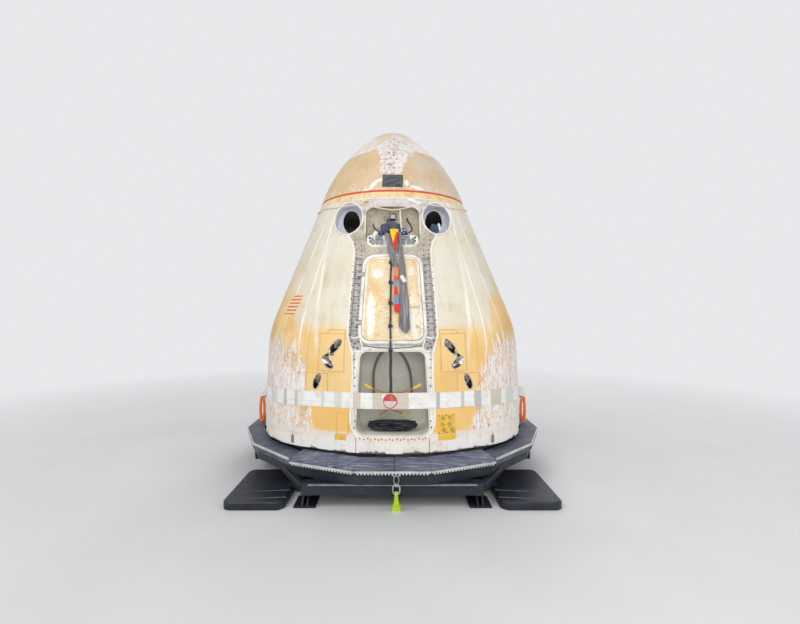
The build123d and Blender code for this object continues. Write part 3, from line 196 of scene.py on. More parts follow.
def scorched_skin(name="Scorched skin", surround=False):
    """Ivory paint baked amber, peeled low on the sides; the front also has its bare speckled surround."""
    f = Finish(name, roughness=0.62)
    turn, height = f.round_hull()
    side = abs(turn)
    along = f.point(turn * 0.12, height * 0.8, f.sum("SIGN", turn))
    streaks = f.noise(2.6, 6.0, 0.62, at=along)
    fine_along = f.point(turn * 0.45, height * 1.3, f.sum("SIGN", turn))
    fine_streaks = f.noise(2.2, 5.0, 0.65, at=fine_along)
    clouds = f.noise(1.3, 5.0, 0.6)
    grain = f.noise(26.0, 6.0, 0.7)

    # Amber low down and round the thrusters, ivory above, tan again on the outer flanks
    amber = f.over(f.ramp(clouds, 0.38, 0.66), AMBER, BROWN_AMBER)
    ivory = f.layers(
        IVORY,
        (clouds, 0.42, 0.7, 1.0, (226, 211, 184)),
        (fine_streaks, 0.55, 0.8, 0.5, (243, 240, 232)),
        (streaks, 0.52, 0.7, 0.55, (214, 204, 180)),
        (f.noise(3.2, 5.0, 0.7), 0.54, 0.66, 0.4, (205, 186, 150)))
    top = 1.44 + (streaks - 0.5) * 0.35
    top += f.ramp(side, 41.0, 47.0, 0.0, 0.45)
    colour = f.over(f.ramp(height - top, -0.02, 0.13), amber, ivory)
    flank = f.ramp(side, 50.0, 62.0) * f.ramp(clouds, 0.32, 0.56)
    flank *= f.ramp(height, 2.5, 1.9)
    colour = f.over(flank * 0.8, colour, (229, 188, 128))
    scorch = f.ramp(side, 37.0, 46.0) * f.ramp(height, 1.72, 1.45)
    scorch *= f.ramp(clouds, 0.34, 0.6)
    colour = f.over(scorch * 0.8, colour, (214, 164, 96))

    # Deeper amber on the panels that carry the thrusters
    for first, last, low, high in ((17.7, 28.2, 0.965, 1.475), (24.2, 33.6, 0.66, 0.965)):
        panel = f.ramp(side, first - 0.1, first + 0.1) * f.ramp(side, last + 0.1, last - 0.1)
        panel *= f.ramp(height, low, low + 0.004) * f.ramp(height, high, high - 0.004)
        colour = f.over(panel * 0.55, colour, (243, 208, 140))

    # Stronger amber under the belt, between the surround and the peeled zone
    under = f.ramp(height, 0.56, 0.5) * f.ramp(clouds, 0.3, 0.55, 0.55, 1.0)
    colour = f.over(under * 0.85, colour, (243, 193, 106))

    # Light lines where the pod bulges leave the cone: painted highlight along the ridges, with some wear
    for start, slope, width in ((33.4, 6.5, 1.3), (38.3, 2.0, 0.6), (48.0, 0.0, 0.9)):
        line = start + (height - 1.87) * slope
        off = abs(side - line)
        ridge_highlight_and_wear = f.ramp(off, 0.2, width, 1.0, 0.0) * f.ramp(streaks, 0.35, 0.6)
        ridge_highlight_and_wear *= f.ramp(height, 1.05, 1.35)
        colour = f.over(ridge_highlight_and_wear, colour, (250, 247, 238))

    # Scrapes down the upper flanks
    scrape = f.ramp(fine_streaks, 0.66, 0.7) * f.ramp(side, 50.0, 56.0)
    scrape *= f.ramp(height, 1.9, 2.2)
    colour = f.over(scrape * 0.9, colour, (248, 246, 240))

    # The peeled zone: a jagged top edge, white below, blotched with tan, rust and soot
    def stretched(wide, tall, scale, detail, seed):
        """Noise over the unrolled hull, stretched in height by the two factors."""
        return f.noise(scale, detail, 0.68, at=f.point(turn * wide, height * tall, seed))

    edge = 1.05 + f.ramp(side, 34.0, 40.5, 0.0, 0.25)
    edge += (stretched(0.3, 0.8, 2.2, 5.0, 4.0) - 0.5) * 1.25
    edge += (fine_streaks - 0.5) * 0.35
    depth = edge - height
    below = f.ramp(depth, 0.0, 0.012)
    inner = 28.3 + height * 5.4
    inner += (streaks - 0.5) * 5.0
    inner += (stretched(0.5, 7.0, 2.0, 5.0, 6.0) - 0.5) * 2.4
    outside = f.ramp(side - inner, 0.0, 0.3)
    peeled = below * outside
    inner_half = f.ramp(side - inner, 3.0, 13.0, 1.0, 0.0)
    specks = f.noise(9.0, 5.0, 0.7, at=f.point(turn, height * 6.0, 0.0))
    tan = f.ramp(stretched(0.22, 2.6, 1.5, 5.0, 7.0), 0.5, 0.58) * f.ramp(inner_half, 0.0, 1.0, 0.35, 0.95)
    white = f.layers(
        PEELED,
        (stretched(0.3, 3.6, 2.0, 6.0, 1.0), 0.44, 0.58, 1.0, (230, 213, 195)),
        (stretched(0.5, 0.9, 2.2, 4.0, 9.0), 0.53, 0.64, 0.65, (196, 184, 190)),
        (tan, (226, 180, 116)),
        (stretched(0.55, 3.4, 2.0, 5.0, 3.0), 0.59, 0.64, 0.85, RUST),
        (stretched(0.4, 3.0, 2.4, 5.0, 5.0), 0.62, 0.66, 0.8, (138, 96, 70)),
        (specks, 0.6, 0.64, 0.7, SOOT))
    under_edge = f.ramp(depth, 0.0, 0.03) * f.ramp(depth, 0.2, 0.08)
    teeth = under_edge * f.ramp(stretched(0.7, 1.6, 2.4, 3.0, 8.0), 0.55, 0.62, 0.0, 0.85)
    white = f.layers(
        white,
        (teeth, (146, 124, 116)),
        (grain, 0.55, 0.61, 0.75, (251, 248, 245)),
        (stretched(0.6, 2.0, 3.0, 6.0, 2.0), 0.57, 0.61, 0.85, (249, 246, 243)))
    colour = f.over(peeled, colour, white)

    # Foot of the skin, where paint has chipped off along the ring
    foot = 0.235 + (specks - 0.5) * 0.22
    chipped = f.ramp(foot - height, 0.0, 0.01)
    colour = f.layers(
        colour,
        (chipped * 0.85, (233, 228, 222)),
        (grain, 0.66, 0.74, 0.35, (196, 160, 112)))

    # The surround of the hatch and bays: bare speckled metal, beige over the hatch, pale beside the lower bay
    if surround:
        width = f.ramp(height, 0.205, 0.34, 0.400, 0.512)
        for low, high, change in ((0.45, 0.75, -0.018), (0.75, 0.95, -0.008), (1.20, 1.42, 0.066),
                                  (1.42, 2.36, -0.044), (2.52, 2.748, 0.092)):
            width += f.ramp(height, low, high, 0.0, change)
        inside = f.ramp(width - abs(f.x), 0.0, 0.003)
        inside *= f.ramp(height, 0.2, 0.208)
        inside *= f.ramp(height, 3.1, 3.108, 1.0, 0.0)
        bare = f.layers(
            (214, 210, 205),
            (height, 1.24, 1.32, 1.0, (176, 172, 164)),
            (height, 2.36, 2.48, 1.0, (196, 186, 164)))
        dots = f.noise(46.0, 4.0, 0.7)
        bare = f.layers(
            bare,
            (f.noise(9.0, 5.0, 0.7), 0.46, 0.62, 0.6, (140, 134, 124)),
            (dots, 0.58, 0.63, 0.55, (112, 106, 98)),
            (dots, 0.42, 0.37, 0.5, (226, 220, 208)))
        rust_low = f.ramp(specks, 0.54, 0.6) * f.ramp(height, 1.3, 0.3, 0.35, 1.0)
        bare = f.over(rust_low * 0.8, bare, (214, 150, 84))
        colour = f.over(inside, colour, bare)
        strip = f.ramp(height, 3.1, 3.108) * f.ramp(height, 3.262, 3.27, 1.0, 0.0)
        strip_colour = f.over(f.ramp(grain, 0.48, 0.6), (216, 210, 206), (196, 184, 170))
        colour = f.over(strip * 0.9, colour, strip_colour)
    rim = f.ramp(height, 3.262, 3.28) * f.ramp(side, 62.0, 40.0, 0.35, 0.9)
    tanned = f.layers(
        (240, 208, 150),
        (f.noise(11.0, 5.0, 0.7), 0.5, 0.6, 1.0, (224, 182, 120)),
        (f.noise(19.0, 4.0, 0.7), 0.6, 0.65, 0.9, (248, 242, 230)),
        (f.noise(24.0, 4.0, 0.7), 0.64, 0.69, 0.7, (172, 120, 82)))
    colour = f.over(rim, colour, tanned)
    f.paint(colour)
    f.gloss(f.ramp(grain, 0.3, 0.7, 0.5, 0.75))
    f.relief(grain + peeled * (specks * 1.6), 0.28, 0.004)
    return f.material


def scorched_nose():
    """Tan nose with the centre peeled white from the crown down to the taped patch."""
    f = Finish("Scorched nose", roughness=0.6)
    turn, height = f.round_hull()
    clouds = f.noise(1.6, 5.0, 0.6)
    grain = f.noise(24.0, 6.0, 0.7)
    ragged = f.noise(7.0, 6.0, 0.68)
    colour = f.over(f.ramp(clouds, 0.36, 0.66), (225, 199, 160), (210, 178, 134))
    streaks = f.noise(3.0, 5.0, 0.6, at=f.point(turn * 0.09, height, 0.0))
    colour = f.over(f.ramp(streaks, 0.55, 0.75, 0.0, 0.5), colour, (234, 217, 188))
    haze = f.ramp(f.x, 0.1, 0.42) * f.ramp(f.noise(2.2, 5.0, 0.65), 0.42, 0.6, 0.0, 0.75)
    colour = f.over(haze, colour, (214, 202, 186))

    # Ivory cap, its lower edge stepped at the shoulders
    cap_edge = 4.1 + (ragged - 0.5) * 0.16
    across = abs(f.x)
    cap_edge -= f.ramp(across, 0.3, 0.4, 0.0, 0.04)
    cap = f.ramp(height - cap_edge, 0.0, 0.02)
    cap_colour = f.layers(
        (228, 212, 184),
        (across, 0.16, 0.34, 1.0, (240, 234, 230)),
        (ragged, 0.5, 0.6, 0.5, (222, 198, 162)))
    colour = f.over(cap * 0.9, colour, cap_colour)

    # White peeled stripe down the front
    front = f.ramp(f.y, -0.05, 0.0, 1.0, 0.0)
    width = 0.165 + (ragged - 0.5) * 0.3
    width += f.ramp(height, 3.8, 4.1, 0.0, 0.12)
    width -= f.ramp(height, 4.16, 4.44, 0.0, 0.25)
    aside = abs(f.x - f.ramp(height, 3.6, 4.1, -0.02, 0.05))
    stripe = f.ramp(width - aside, 0.0, 0.015)
    stripe *= f.ramp(height + ragged * 0.1, 3.66, 3.7)
    stripe *= front
    flake = f.layers(
        (236, 233, 230),
        (grain, 0.5, 0.6, 0.6, (212, 190, 166)),
        (f.noise(6.0, 6.0, 0.75), 0.53, 0.58, 0.6, (208, 178, 154)))
    centre = f.ramp(abs(f.x + 0.03), 0.05, 0.15, 1.0, 0.15)
    fine = f.ramp(f.noise(15.0, 6.0, 0.78), 0.52, 0.57)
    flake = f.layers(
        flake,
        (fine * (centre * 0.9), (176, 140, 122)),
        (f.noise(21.0, 4.0, 0.75), 0.62, 0.66, 0.8, (140, 122, 132)))
    colour = f.over(stripe, colour, flake)

    # White chips beside the patch and down to the seam on the left, a few on the right
    for x, z, wide, tall, lean in ((-0.205, 3.53, 0.10, 0.035, 0.5), (-0.285, 3.455, 0.085, 0.040, 0.8),
                                   (-0.365, 3.41, 0.07, 0.022, 0.3), (0.37, 3.43, 0.12, 0.022, -0.2),
                                   (0.20, 3.50, 0.03, 0.05, 0.0)):
        over_x = f.x - x
        over_z = height - z - over_x * lean
        over_x /= wide
        over_z /= tall
        far = over_x * over_x + over_z * over_z
        far += (ragged - 0.5) * 4.5
        chip = f.ramp(far, 0.7, 1.0, 1.0, 0.0) * front
        colour = f.over(chip, colour, (243, 238, 232))

    # Chips along the seam and over the cone
    low = f.ramp(height, 3.42, 3.52, 1.0, 0.0) * f.ramp(grain, 0.55, 0.6)
    colour = f.over(low * 0.7, colour, (244, 238, 224))
    chips = f.ramp(f.noise(14.0, 3.0, 0.6), 0.70, 0.73)
    colour = f.over(chips * 0.7, colour, (248, 243, 232))
    f.paint(colour)
    f.gloss(f.ramp(grain, 0.3, 0.7, 0.5, 0.72))
    f.relief(grain + stripe * ragged, 0.25, 0.004)
    return f.material


def scorched_hatch():
    """Amber hatch with a pale smear low on the left and rubbed patches on the right."""
    f = Finish("Scorched hatch", roughness=0.55)
    height = f.z - EDGE
    clouds = f.noise(2.4, 5.0, 0.62)
    grain = f.noise(30.0, 6.0, 0.7)
    streaks = f.noise(3.2, 5.0, 0.62, at=f.point(f.x * 5.0, height * 0.9, 0.0))
    torn = f.noise(15.0, 6.0, 0.75)
    colour = f.layers(
        (236, 212, 164),
        (clouds, 0.4, 0.66, 1.0, (229, 192, 134)),
        (streaks, 0.5, 0.66, 0.7, (246, 230, 196)))

    def patch(x, z, wide, tall, low, high):
        across = (f.x - x) / wide
        up = (height - z) / tall
        far = across * across + up * up
        far += (clouds - 0.5) * 1.6
        far += (torn - 0.5) * 3.0
        return f.ramp(far, low, high, 1.0, 0.0)

    mottled = f.noise(8.0, 6.0, 0.76)
    colour = f.layers(
        colour,
        (mottled, 0.5, 0.58, 0.65, (226, 216, 192)),
        (mottled, 0.44, 0.38, 0.6, (208, 162, 104)),
        (patch(-0.27, 1.66, 0.055, 0.27, 0.5, 1.5) * 0.95, (250, 246, 236)),
        (patch(0.295, 1.57, 0.085, 0.25, 0.8, 1.2) * 0.95, (238, 232, 220)),
        (patch(-0.19, 2.18, 0.07, 0.07, 0.5, 1.0) * 0.95, (252, 249, 242)),
        (patch(0.235, 2.22, 0.055, 0.07, 0.5, 1.2) * 0.8, (246, 240, 226)))
    rubbed = f.ramp(f.noise(6.5, 6.0, 0.72), 0.5, 0.6) * f.ramp(abs(f.x), 0.4, 0.3)
    colour = f.over(rubbed * 0.6, colour, (233, 219, 188))
    edge_worn = f.ramp(f.noise(5.0, 5.0, 0.7), 0.46, 0.6) * f.ramp(abs(f.x), 0.29, 0.37)
    colour = f.over(edge_worn * 0.7, colour, (224, 172, 92))
    scuffs = f.noise(12.0, 6.0, 0.75)
    colour = f.layers(
        colour,
        (scuffs, 0.6, 0.66, 0.65, (205, 172, 124)),
        (f.noise(17.0, 4.0, 0.7), 0.62, 0.66, 0.8, (250, 246, 236)))
    off_side = f.ramp(height, 1.42, 2.41, 0.374, 0.332) - abs(f.x)
    off_ends = f.sum("MINIMUM", height - 1.335, 2.41 - height)
    border = f.ramp(f.sum("MINIMUM", off_side, off_ends), 0.020, 0.028, 1.0, 0.0)
    colour = f.over(border * f.ramp(mottled, 0.44, 0.56, 0.5, 0.95), colour, (247, 240, 224))
    cracks = patch(0.29, 1.6, 0.095, 0.3, 0.9, 1.3) * f.ramp(f.noise(13.0, 5.0, 0.7), 0.58, 0.62)
    colour = f.over(cracks * 0.85, colour, (176, 164, 142))
    speckle = patch(-0.07, 1.8, 0.16, 0.22, 0.6, 1.4) * f.ramp(f.noise(28.0, 4.0, 0.7), 0.56, 0.61)
    colour = f.over(speckle * 0.8, colour, (196, 152, 104))
    f.paint(colour)
    f.gloss(f.ramp(grain, 0.3, 0.7, 0.42, 0.66))
    f.relief(grain + scuffs, 0.2, 0.003)
    return f.material


def ring_paint():
    """Pale stained base ring with its segment joints and rust specks along the top."""
    f = Finish("Ring paint", roughness=0.48)
    turn, height = f.round_hull()
    grain = f.noise(22.0, 6.0, 0.7)
    clouds = f.noise(1.8, 5.0, 0.62)
    drips = f.noise(2.4, 5.0, 0.65, at=f.point(turn * 0.4, height * 2.0, 0.0))
    colour = f.layers(
        (240, 237, 234),
        (clouds, 0.4, 0.65, 1.0, (238, 228, 208)),
        (drips, 0.56, 0.7, 0.6, (196, 186, 180)))
    specks = f.noise(9.0, 5.0, 0.72, at=f.point(turn, height * 10.0, 0.0))
    band = f.ramp(specks, 0.54, 0.6) * f.ramp(height, 0.115, 0.15)
    colour = f.over(band * 0.9, colour, (214, 156, 92))
    stained = f.noise(3.6, 6.0, 0.72)
    colour = f.over(f.ramp(stained, 0.55, 0.62, 0.0, 0.5), colour, (206, 200, 204))
    sooty = 0.002 + (stained - 0.47) * 0.2
    low = f.ramp(sooty - height, -0.006, 0.01)
    colour = f.over(low * 0.9, colour, (62, 60, 66))

    # Fourteen joints, each a thin dark line with a smudge low down
    step = 360 / 14
    phase = f.sum("PINGPONG", turn - step / 2, step / 2)
    joint = f.ramp(phase, 0.08, 0.16, 1.0, 0.0)
    colour = f.over(joint * 0.85, colour, (92, 84, 92))
    smudge = f.ramp(phase + grain * 0.8, 1.0, 1.3, 1.0, 0.0) * f.ramp(abs(height - 0.075), 0.04, 0.06, 1.0, 0.0)
    away = f.ramp(abs(turn), 18.0, 22.0)
    colour = f.over(smudge * away * 0.8, colour, (104, 84, 100))
    f.paint(colour)
    f.gloss(f.ramp(grain, 0.3, 0.7, 0.38, 0.6))
    f.relief(grain - joint * 2.0, 0.18, 0.003)
    return f.material


def worn_paint(name, colour, dirt, dirt_scale=6.0, amount=0.7, rough=(0.4, 0.6), metallic=0.0, spots=None,
               relief=0.15):
    """Plain paint or metal with a second colour in clouds, dirt on most finishes and painted highlight on the nozzle
    metal, a fine grain, and if wanted spots of another colour.
    """
    f = Finish(name, metallic=metallic)
    grain = f.noise(dirt_scale * 9, 5.0, 0.7)
    shade = f.layers(colour, (f.noise(dirt_scale, 5.0, 0.65), 0.42, 0.68, amount, dirt))
    if spots is not None:
        spot, limit, scale = spots
        shade = f.layers(shade, (f.noise(scale, 4.0, 0.7), limit, limit + 0.05, 0.9, spot))
    f.paint(shade)
    f.gloss(f.ramp(grain, 0.3, 0.7, *rough))
    f.relief(grain, relief, 0.002)
    return f.material


def woven(name, colour, dirt, threads=900.0):
    """Woven webbing or cloth: a fine weave, soft dirt and a little sheen."""
    f = Finish(name, roughness=0.85, sheen=0.3)
    f.shader.inputs["Sheen Roughness"].default_value = 0.5
    thread = {"Vector": f.place, "Scale": threads / 20, "Distortion": 0.4}
    cloth = f.node("TexWave", thread, "Fac") * f.node("TexWave", thread, "Fac", bands_direction="Z")
    clouds = f.noise(9.0, 5.0, 0.65)
    f.paint(f.layers(colour, (clouds, 0.42, 0.7, 0.5, dirt), (cloth * 0.12, (255, 255, 255))))
    f.relief(cloth + clouds, 0.35, 0.002)
    return f.material


skin_finish = scorched_skin()
front_finish = scorched_skin("Scorched front", surround=True)
nose_finish = scorched_nose()
hatch_finish = scorched_hatch()
ring_finish = ring_paint()
char_finish = worn_paint("Charred tiles", (42, 38, 36), (86, 78, 72), 5.0, 0.8, (0.75, 0.95))
frame_finish = worn_paint("Frame white", (240, 238, 232), (200, 192, 178), 5.0, 0.8, (0.4, 0.6),
                          spots=((170, 132, 92), 0.66, 11.0))
panel_finish = worn_paint("Fitting panel", (250, 250, 248), (206, 204, 200), 9.0, 0.6, (0.35, 0.55),
                          spots=((96, 96, 100), 0.7, 26.0))
bay_finish = worn_paint("Bay paint", (222, 219, 208), (190, 185, 172), 2.6, 0.8, (0.5, 0.7),
                        spots=((228, 222, 204), 0.62, 5.0))
upper_bay_finish = worn_paint("Upper bay paint", (246, 236, 214), (206, 192, 166), 7.0, 0.9, (0.5, 0.7),
                              spots=((96, 86, 76), 0.585, 22.0))
tube_finish = worn_paint("Tube paint", (250, 251, 255), (228, 230, 240), 4.0, 0.7, (0.35, 0.5))
trough_finish = worn_paint("Trough grey", (184, 180, 174), (132, 129, 125), 12.0, 0.85, (0.6, 0.8),
                           spots=((206, 204, 200), 0.58, 24.0), relief=0.4)
# The nozzle metal's pale second colour is painted highlight: bright streaks over the dark metal
nozzle_finish = worn_paint("Nozzle metal", (72, 62, 58), (238, 226, 222), 7.0, 0.95, (0.12, 0.28), 0.95)
hinge_finish = worn_paint("Hinge metal", (168, 168, 168), (120, 118, 116), 12.0, 0.6, (0.3, 0.5), 0.8)
fitting_finish = worn_paint("Fitting metal", (70, 70, 76), (150, 148, 146), 14.0, 0.6, (0.35, 0.55), 0.5)
blue_finish = worn_paint("Connector blue", (58, 84, 128), (30, 40, 62), 14.0, 0.7, (0.4, 0.6))
cabin_finish = worn_paint("Cabin white", (222, 222, 220), (190, 190, 188), 3.0, 0.5, (0.4, 0.55))
window_finish = worn_paint("Window metal", (96, 96, 100), (60, 60, 64), 8.0, 0.6, (0.35, 0.5), 0.7)
seat_finish = worn_paint("Seat shell", (206, 206, 204), (90, 90, 94), 5.0, 0.4, (0.4, 0.6))
seat_frame_finish = worn_paint("Seat frame", (64, 64, 70), (40, 40, 44), 6.0, 0.6, (0.35, 0.5), 0.5)
console_finish = worn_paint("Console black", (20, 20, 24), (44, 44, 50), 4.0, 0.5, (0.12, 0.25))
seal_finish = worn_paint("Seal red", (214, 86, 56), (176, 64, 44), 8.0, 0.7, (0.5, 0.7))
navy_finish = worn_paint("Cradle navy", (22, 27, 38), (46, 51, 64), 4.0, 0.7, (0.35, 0.6),
                         spots=((120, 96, 78), 0.7, 9.0))
rubber_finish = worn_paint("Pad rubber", (78, 82, 95), (112, 116, 130), 5.0, 0.8, (0.5, 0.8),
                           spots=((128, 128, 130), 0.67, 18.0), relief=0.3)
trim_finish = worn_paint("Trim white", (212, 212, 208), (150, 150, 148), 9.0, 0.7, (0.45, 0.65))
black_finish = worn_paint("Outrigger black", (20, 23, 32), (42, 46, 58), 5.0, 0.8, (0.4, 0.65))
shackle_finish = worn_paint("Shackle steel", (186, 186, 188), (130, 128, 126), 14.0, 0.6, (0.3, 0.5), 0.9)
lime_finish = worn_paint("Block lime", (202, 236, 40), (160, 196, 30), 12.0, 0.6, (0.3, 0.45))
dark_finish = worn_paint("Dark cloth", (24, 25, 30), (52, 54, 62), 14.0, 0.7, (0.6, 0.85), relief=0.4)
rope_finish = woven("Black rope", (22, 22, 25), (44, 44, 48), 1600.0)
belt_white = woven("Belt white", (236, 235, 229), (206, 202, 192))
orange_cloth = woven("Sling orange", (255, 128, 22), (236, 96, 14))


def sleeve_cloth(name, colour, crease, fold_highlight):
    """Soft grey cloth with long creases: painted shade darkens the creases, and a painted highlight makes it paler
    where it folds forward.
    """
    f = Finish(name, roughness=0.85, sheen=0.3)
    height = f.z - EDGE
    creases = f.noise(1.6, 5.0, 0.65, at=f.point(f.x * 30.0, height * 2.2), distortion=0.6)
    weave = f.noise(520.0, 2.0)
    f.paint(f.layers(
        colour,
        (creases, 0.50, 0.62, 0.85, crease),
        (creases, 0.44, 0.34, 0.8, fold_highlight),
        (weave, 0.45, 0.6, 0.25, crease)))
    f.relief(creases * 3.0 + weave, 0.5, 0.006)
    return f.material


def scuffed_boards():
    """Slate-grey boards with long pale scuffs along them and a seam in the middle."""
    f = Finish("Scuffed boards", roughness=0.6)
    lengthways = f.point(f.x * 1.3, f.y * 16.0, f.z * 16.0)
    scuffs = f.noise(2.4, 6.0, 0.7, at=lengthways)
    colour = f.layers(
        (102, 108, 128),
        (f.noise(3.0, 5.0, 0.65), 0.42, 0.62, 1.0, (78, 84, 104)),
        (scuffs, 0.54, 0.6, 0.75, (156, 160, 176)),
        (scuffs, 0.45, 0.4, 0.7, (44, 47, 58)))
    middle = f.ramp(abs(f.x - 0.02), 0.004, 0.007, 1.0, 0.0)
    f.paint(f.over(middle * 0.9, colour, (26, 28, 36)))
    f.gloss(f.ramp(scuffs, 0.3, 0.7, 0.4, 0.7))
    f.relief(scuffs - middle, 0.4, 0.004)
    return f.material


board_finish = scuffed_boards()
# The sleeve cloths' second colour is painted shade in the creases and their third a painted highlight; the fold cloth
# is a paler, lit copy of the grey cloth
grey_cloth = sleeve_cloth("Sleeve grey", (136, 132, 135), (86, 83, 87), (164, 160, 162))
lit_fold_cloth = sleeve_cloth("Sleeve fold lit", (152, 148, 150), (104, 101, 105), (178, 174, 176))
border_finish = worn_paint("Border white", (246, 244, 238), (206, 196, 178), 9.0, 0.5, (0.4, 0.6))

glass = Finish("Window glass", roughness=0.05)
glass.paint((34, 38, 44))
glass.shader.inputs["Coat Weight"].default_value = 0.6
glass.relief(glass.noise(3.0, 2.0), 0.02, 0.002)

for finish, names in (
        (front_finish, "front_skin"),
        (skin_finish, "left_skin right_skin rear_skin"),
        (skin_finish, "pod_front_left pod_front_right pod_rear_left pod_rear_right"),
        (nose_finish, "nose_cone"),
        (hatch_finish, "side_hatch"),
        (ring_finish, "base_ring"),
        (char_finish, "heat_shield"),
        (frame_finish, "hatch_frame bay_rim docking_ring"),
        (panel_finish, "fitting_panel"),
        (bay_finish, "lower_bay_liner forward_bulkhead"),
        (upper_bay_finish, "upper_bay_liner"),
        (tube_finish, "drogue_tubes"),
        (trough_finish, "riser_troughs hatch_hinge_base hatch_hinge_arms"),
        (nozzle_finish, "thruster_nozzles"),
        (hinge_finish, "tunnel_hinge nose_hinge_base nose_hinge_arms docking_petals riser_fittings"),
        (blue_finish, "bay_connectors"),
        (cabin_finish, "pressure_vessel cabin_floor tunnel_hatch"),
        (window_finish, "window_frames"),
        (glass.material, "window_panes"),
        (seat_finish, "seats"),
        (seat_frame_finish, "seat_frame"),
        (console_finish, "console"),
        (seal_finish, "seal_ring"),
        (belt_white, "belt side_shackles"),
        (orange_cloth, "side_slings striped_tail cone_ribbon"),
        (grey_cloth, "sleeve_long sleeve_short"),
        (rope_finish, "knotted_rope braided_rope"),
        (dark_finish, "bay_bundle"),
        (navy_finish, "ring_beam support_ring base_frame"),
        (black_finish, "legs outriggers"),
        (rubber_finish, "ring_pads"),
        (board_finish, "front_pads"),
        (trim_finish, "edge_trim comb_strip"),
        (shackle_finish, "front_shackle"),
        (lime_finish, "snatch_block")):
    for name in names.split():
        cad[name].data.materials.clear()
        cad[name].data.materials.append(finish)

# Placing and shaping
HATCH_RADIUS = 1.74824
CLEAR_OF_HULL = 2.6
HULL = [cad[name] for name in (
    "front_skin", "pod_front_left", "pod_front_right", "left_skin", "right_skin", "rear_skin", "pod_rear_left",
    "pod_rear_right", "base_ring", "nose_cone", "seal_ring", "side_hatch", "hatch_frame", "bay_rim")]


def touch(nodes, start, towards):
    """Where a line from start first meets one of these CAD nodes, and the surface's normal there."""
    best = None
    for node in nodes:
        hit, place, normal, _ = node.ray_cast(start, towards)
        if hit and (best is None or (place - start).length < (best[0] - start).length):
            best = (place.copy(), normal.copy())
    return best


def from_front(nodes, x, height):
    """What a line straight back from the front meets first, at a distance from the middle and a height."""
    return touch(nodes, Vector((x, -CLEAR_OF_HULL, EDGE + height)), Vector((0, 1, 0)))


def on_hull(turn, height, proud=0.0, nodes=HULL):
    """A point on the hull, by degrees from the front and height over the ring's edge."""
    for aside in (0, 0.25, -0.25, 0.6, -0.6, 1.2, -1.2):
        angle = math.radians(turn + aside)
        outward = Vector((math.sin(angle), -math.cos(angle), 0))
        found = touch(nodes, outward * CLEAR_OF_HULL + Vector((0, 0, EDGE + height)), -outward)
        if found:
            break
    place, normal = found
    return place + normal * proud, normal


def on_front(x, height, proud=0.0, nodes=HULL):
    """A point on the front of the hull, by its distance from the middle and its height."""
    for aside in (0, 0.008, -0.008, 0.02, -0.02):
        found = from_front(nodes, x + aside, height + aside / 2)
        if found:
            break
    place, normal = found
    return place + normal * proud, normal


def on_hatch(x, height, level=0.0):
    """A point over the flat hatch, level metres out from its face."""
    up = (height - HATCH_MIDDLE) / math.cos(HATCH_LEAN)
    return Vector((x, -HATCH_RADIUS + up * math.sin(HATCH_LEAN) - level * math.cos(HATCH_LEAN),
                   EDGE + height + level * math.sin(HATCH_LEAN)))


SIDES = ((-1, "left"), (1, "right"))


def on_side(side, points):
    """Points given for the right half, on one side or the other."""
    return [(side * x, *rest) for x, *rest in points]


def circle(steps):
    """The angles of a circle's steps."""
    return [2 * math.pi * step / steps for step in range(steps)]


def deselect():
    bpy.ops.object.select_all(action="DESELECT")


def added(primitive, **settings):
    """A primitive, added with all else deselected."""
    deselect()
    primitive(**settings)
    return bpy.context.object


def edited(piece, *steps, facing=None):
    """Edit-mode steps, each an operator and its settings, on all of a new piece or on the faces that look one way."""
    bpy.ops.object.mode_set(mode="EDIT")
    if facing is not None:
        bpy.ops.mesh.select_all(action="DESELECT")
        bpy.ops.object.mode_set(mode="OBJECT")
        for face in piece.data.polygons:
            face.select = face.normal.dot(facing) > 0.9
        bpy.ops.object.mode_set(mode="EDIT")
    for operator, settings in steps:
        operator(**settings)
    bpy.ops.object.mode_set(mode="OBJECT")
    return piece


def bevelled(piece, offset, segments=2):
    return edited(piece, (bpy.ops.mesh.bevel, {"offset": offset, "segments": segments}))


def outwards(piece, merge=None, fill=False):
    """Turns a mesh's faces outwards, after its doubles are merged and its open ends filled if wanted."""
    steps = [(bpy.ops.mesh.select_all, {"action": "SELECT"})]
    if merge:
        steps.append((bpy.ops.mesh.remove_doubles, {"threshold": merge}))
    steps.append((bpy.ops.mesh.normals_make_consistent, {"inside": False}))
    if fill:
        steps += [(bpy.ops.mesh.select_all, {"action": "DESELECT"}), (bpy.ops.mesh.select_non_manifold, {}),
                  (bpy.ops.mesh.edge_face_add, {})]
    return edited(piece, *steps)


def use(modifier_type, piece, **settings):
    """Adds a modifier to the piece and applies it."""
    bpy.context.view_layer.objects.active = piece
    modifier = piece.modifiers.new(modifier_type.title(), modifier_type)
    for name, value in settings.items():
        setattr(modifier, name, value)
    bpy.ops.object.modifier_apply(modifier=modifier.name)


def settle(piece, name, finish, body="root", smooth=40):
    """Names a piece, puts its place into its mesh, gives it its finish and its body."""
    deselect()
    piece.select_set(True)
    bpy.context.view_layer.objects.active = piece
    bpy.ops.object.transform_apply(location=True, rotation=True, scale=True)
    piece.name = name
    piece.data.name = name
    piece.data.materials.clear()
    piece.data.materials.append(finish)
    bpy.ops.object.shade_smooth_by_angle(angle=math.radians(smooth))
    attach(piece, body)
    return piece


def joined(pieces):
    """Several meshes as one object."""
    deselect()
    for piece in pieces:
        piece.select_set(True)
    bpy.context.view_layer.objects.active = pieces[0]
    if len(pieces) > 1:
        bpy.ops.object.join()
    return pieces[0]


def copies(model, places):
    """The model repeated at each (point, normal, turn) with its +Z along the normal; the model itself goes."""
    made = []
    for point, normal, turn in places:
        one = model.copy()
        one.data = model.data.copy()
        bpy.context.scene.collection.objects.link(one)
        facing = normal.to_track_quat("Z", "Y")
        one.matrix_world = Matrix.Translation(point) @ facing.to_matrix().to_4x4() @ Matrix.Rotation(turn, 4, "Z")
        made.append(one)
    bpy.data.objects.remove(model)
    return joined(made)


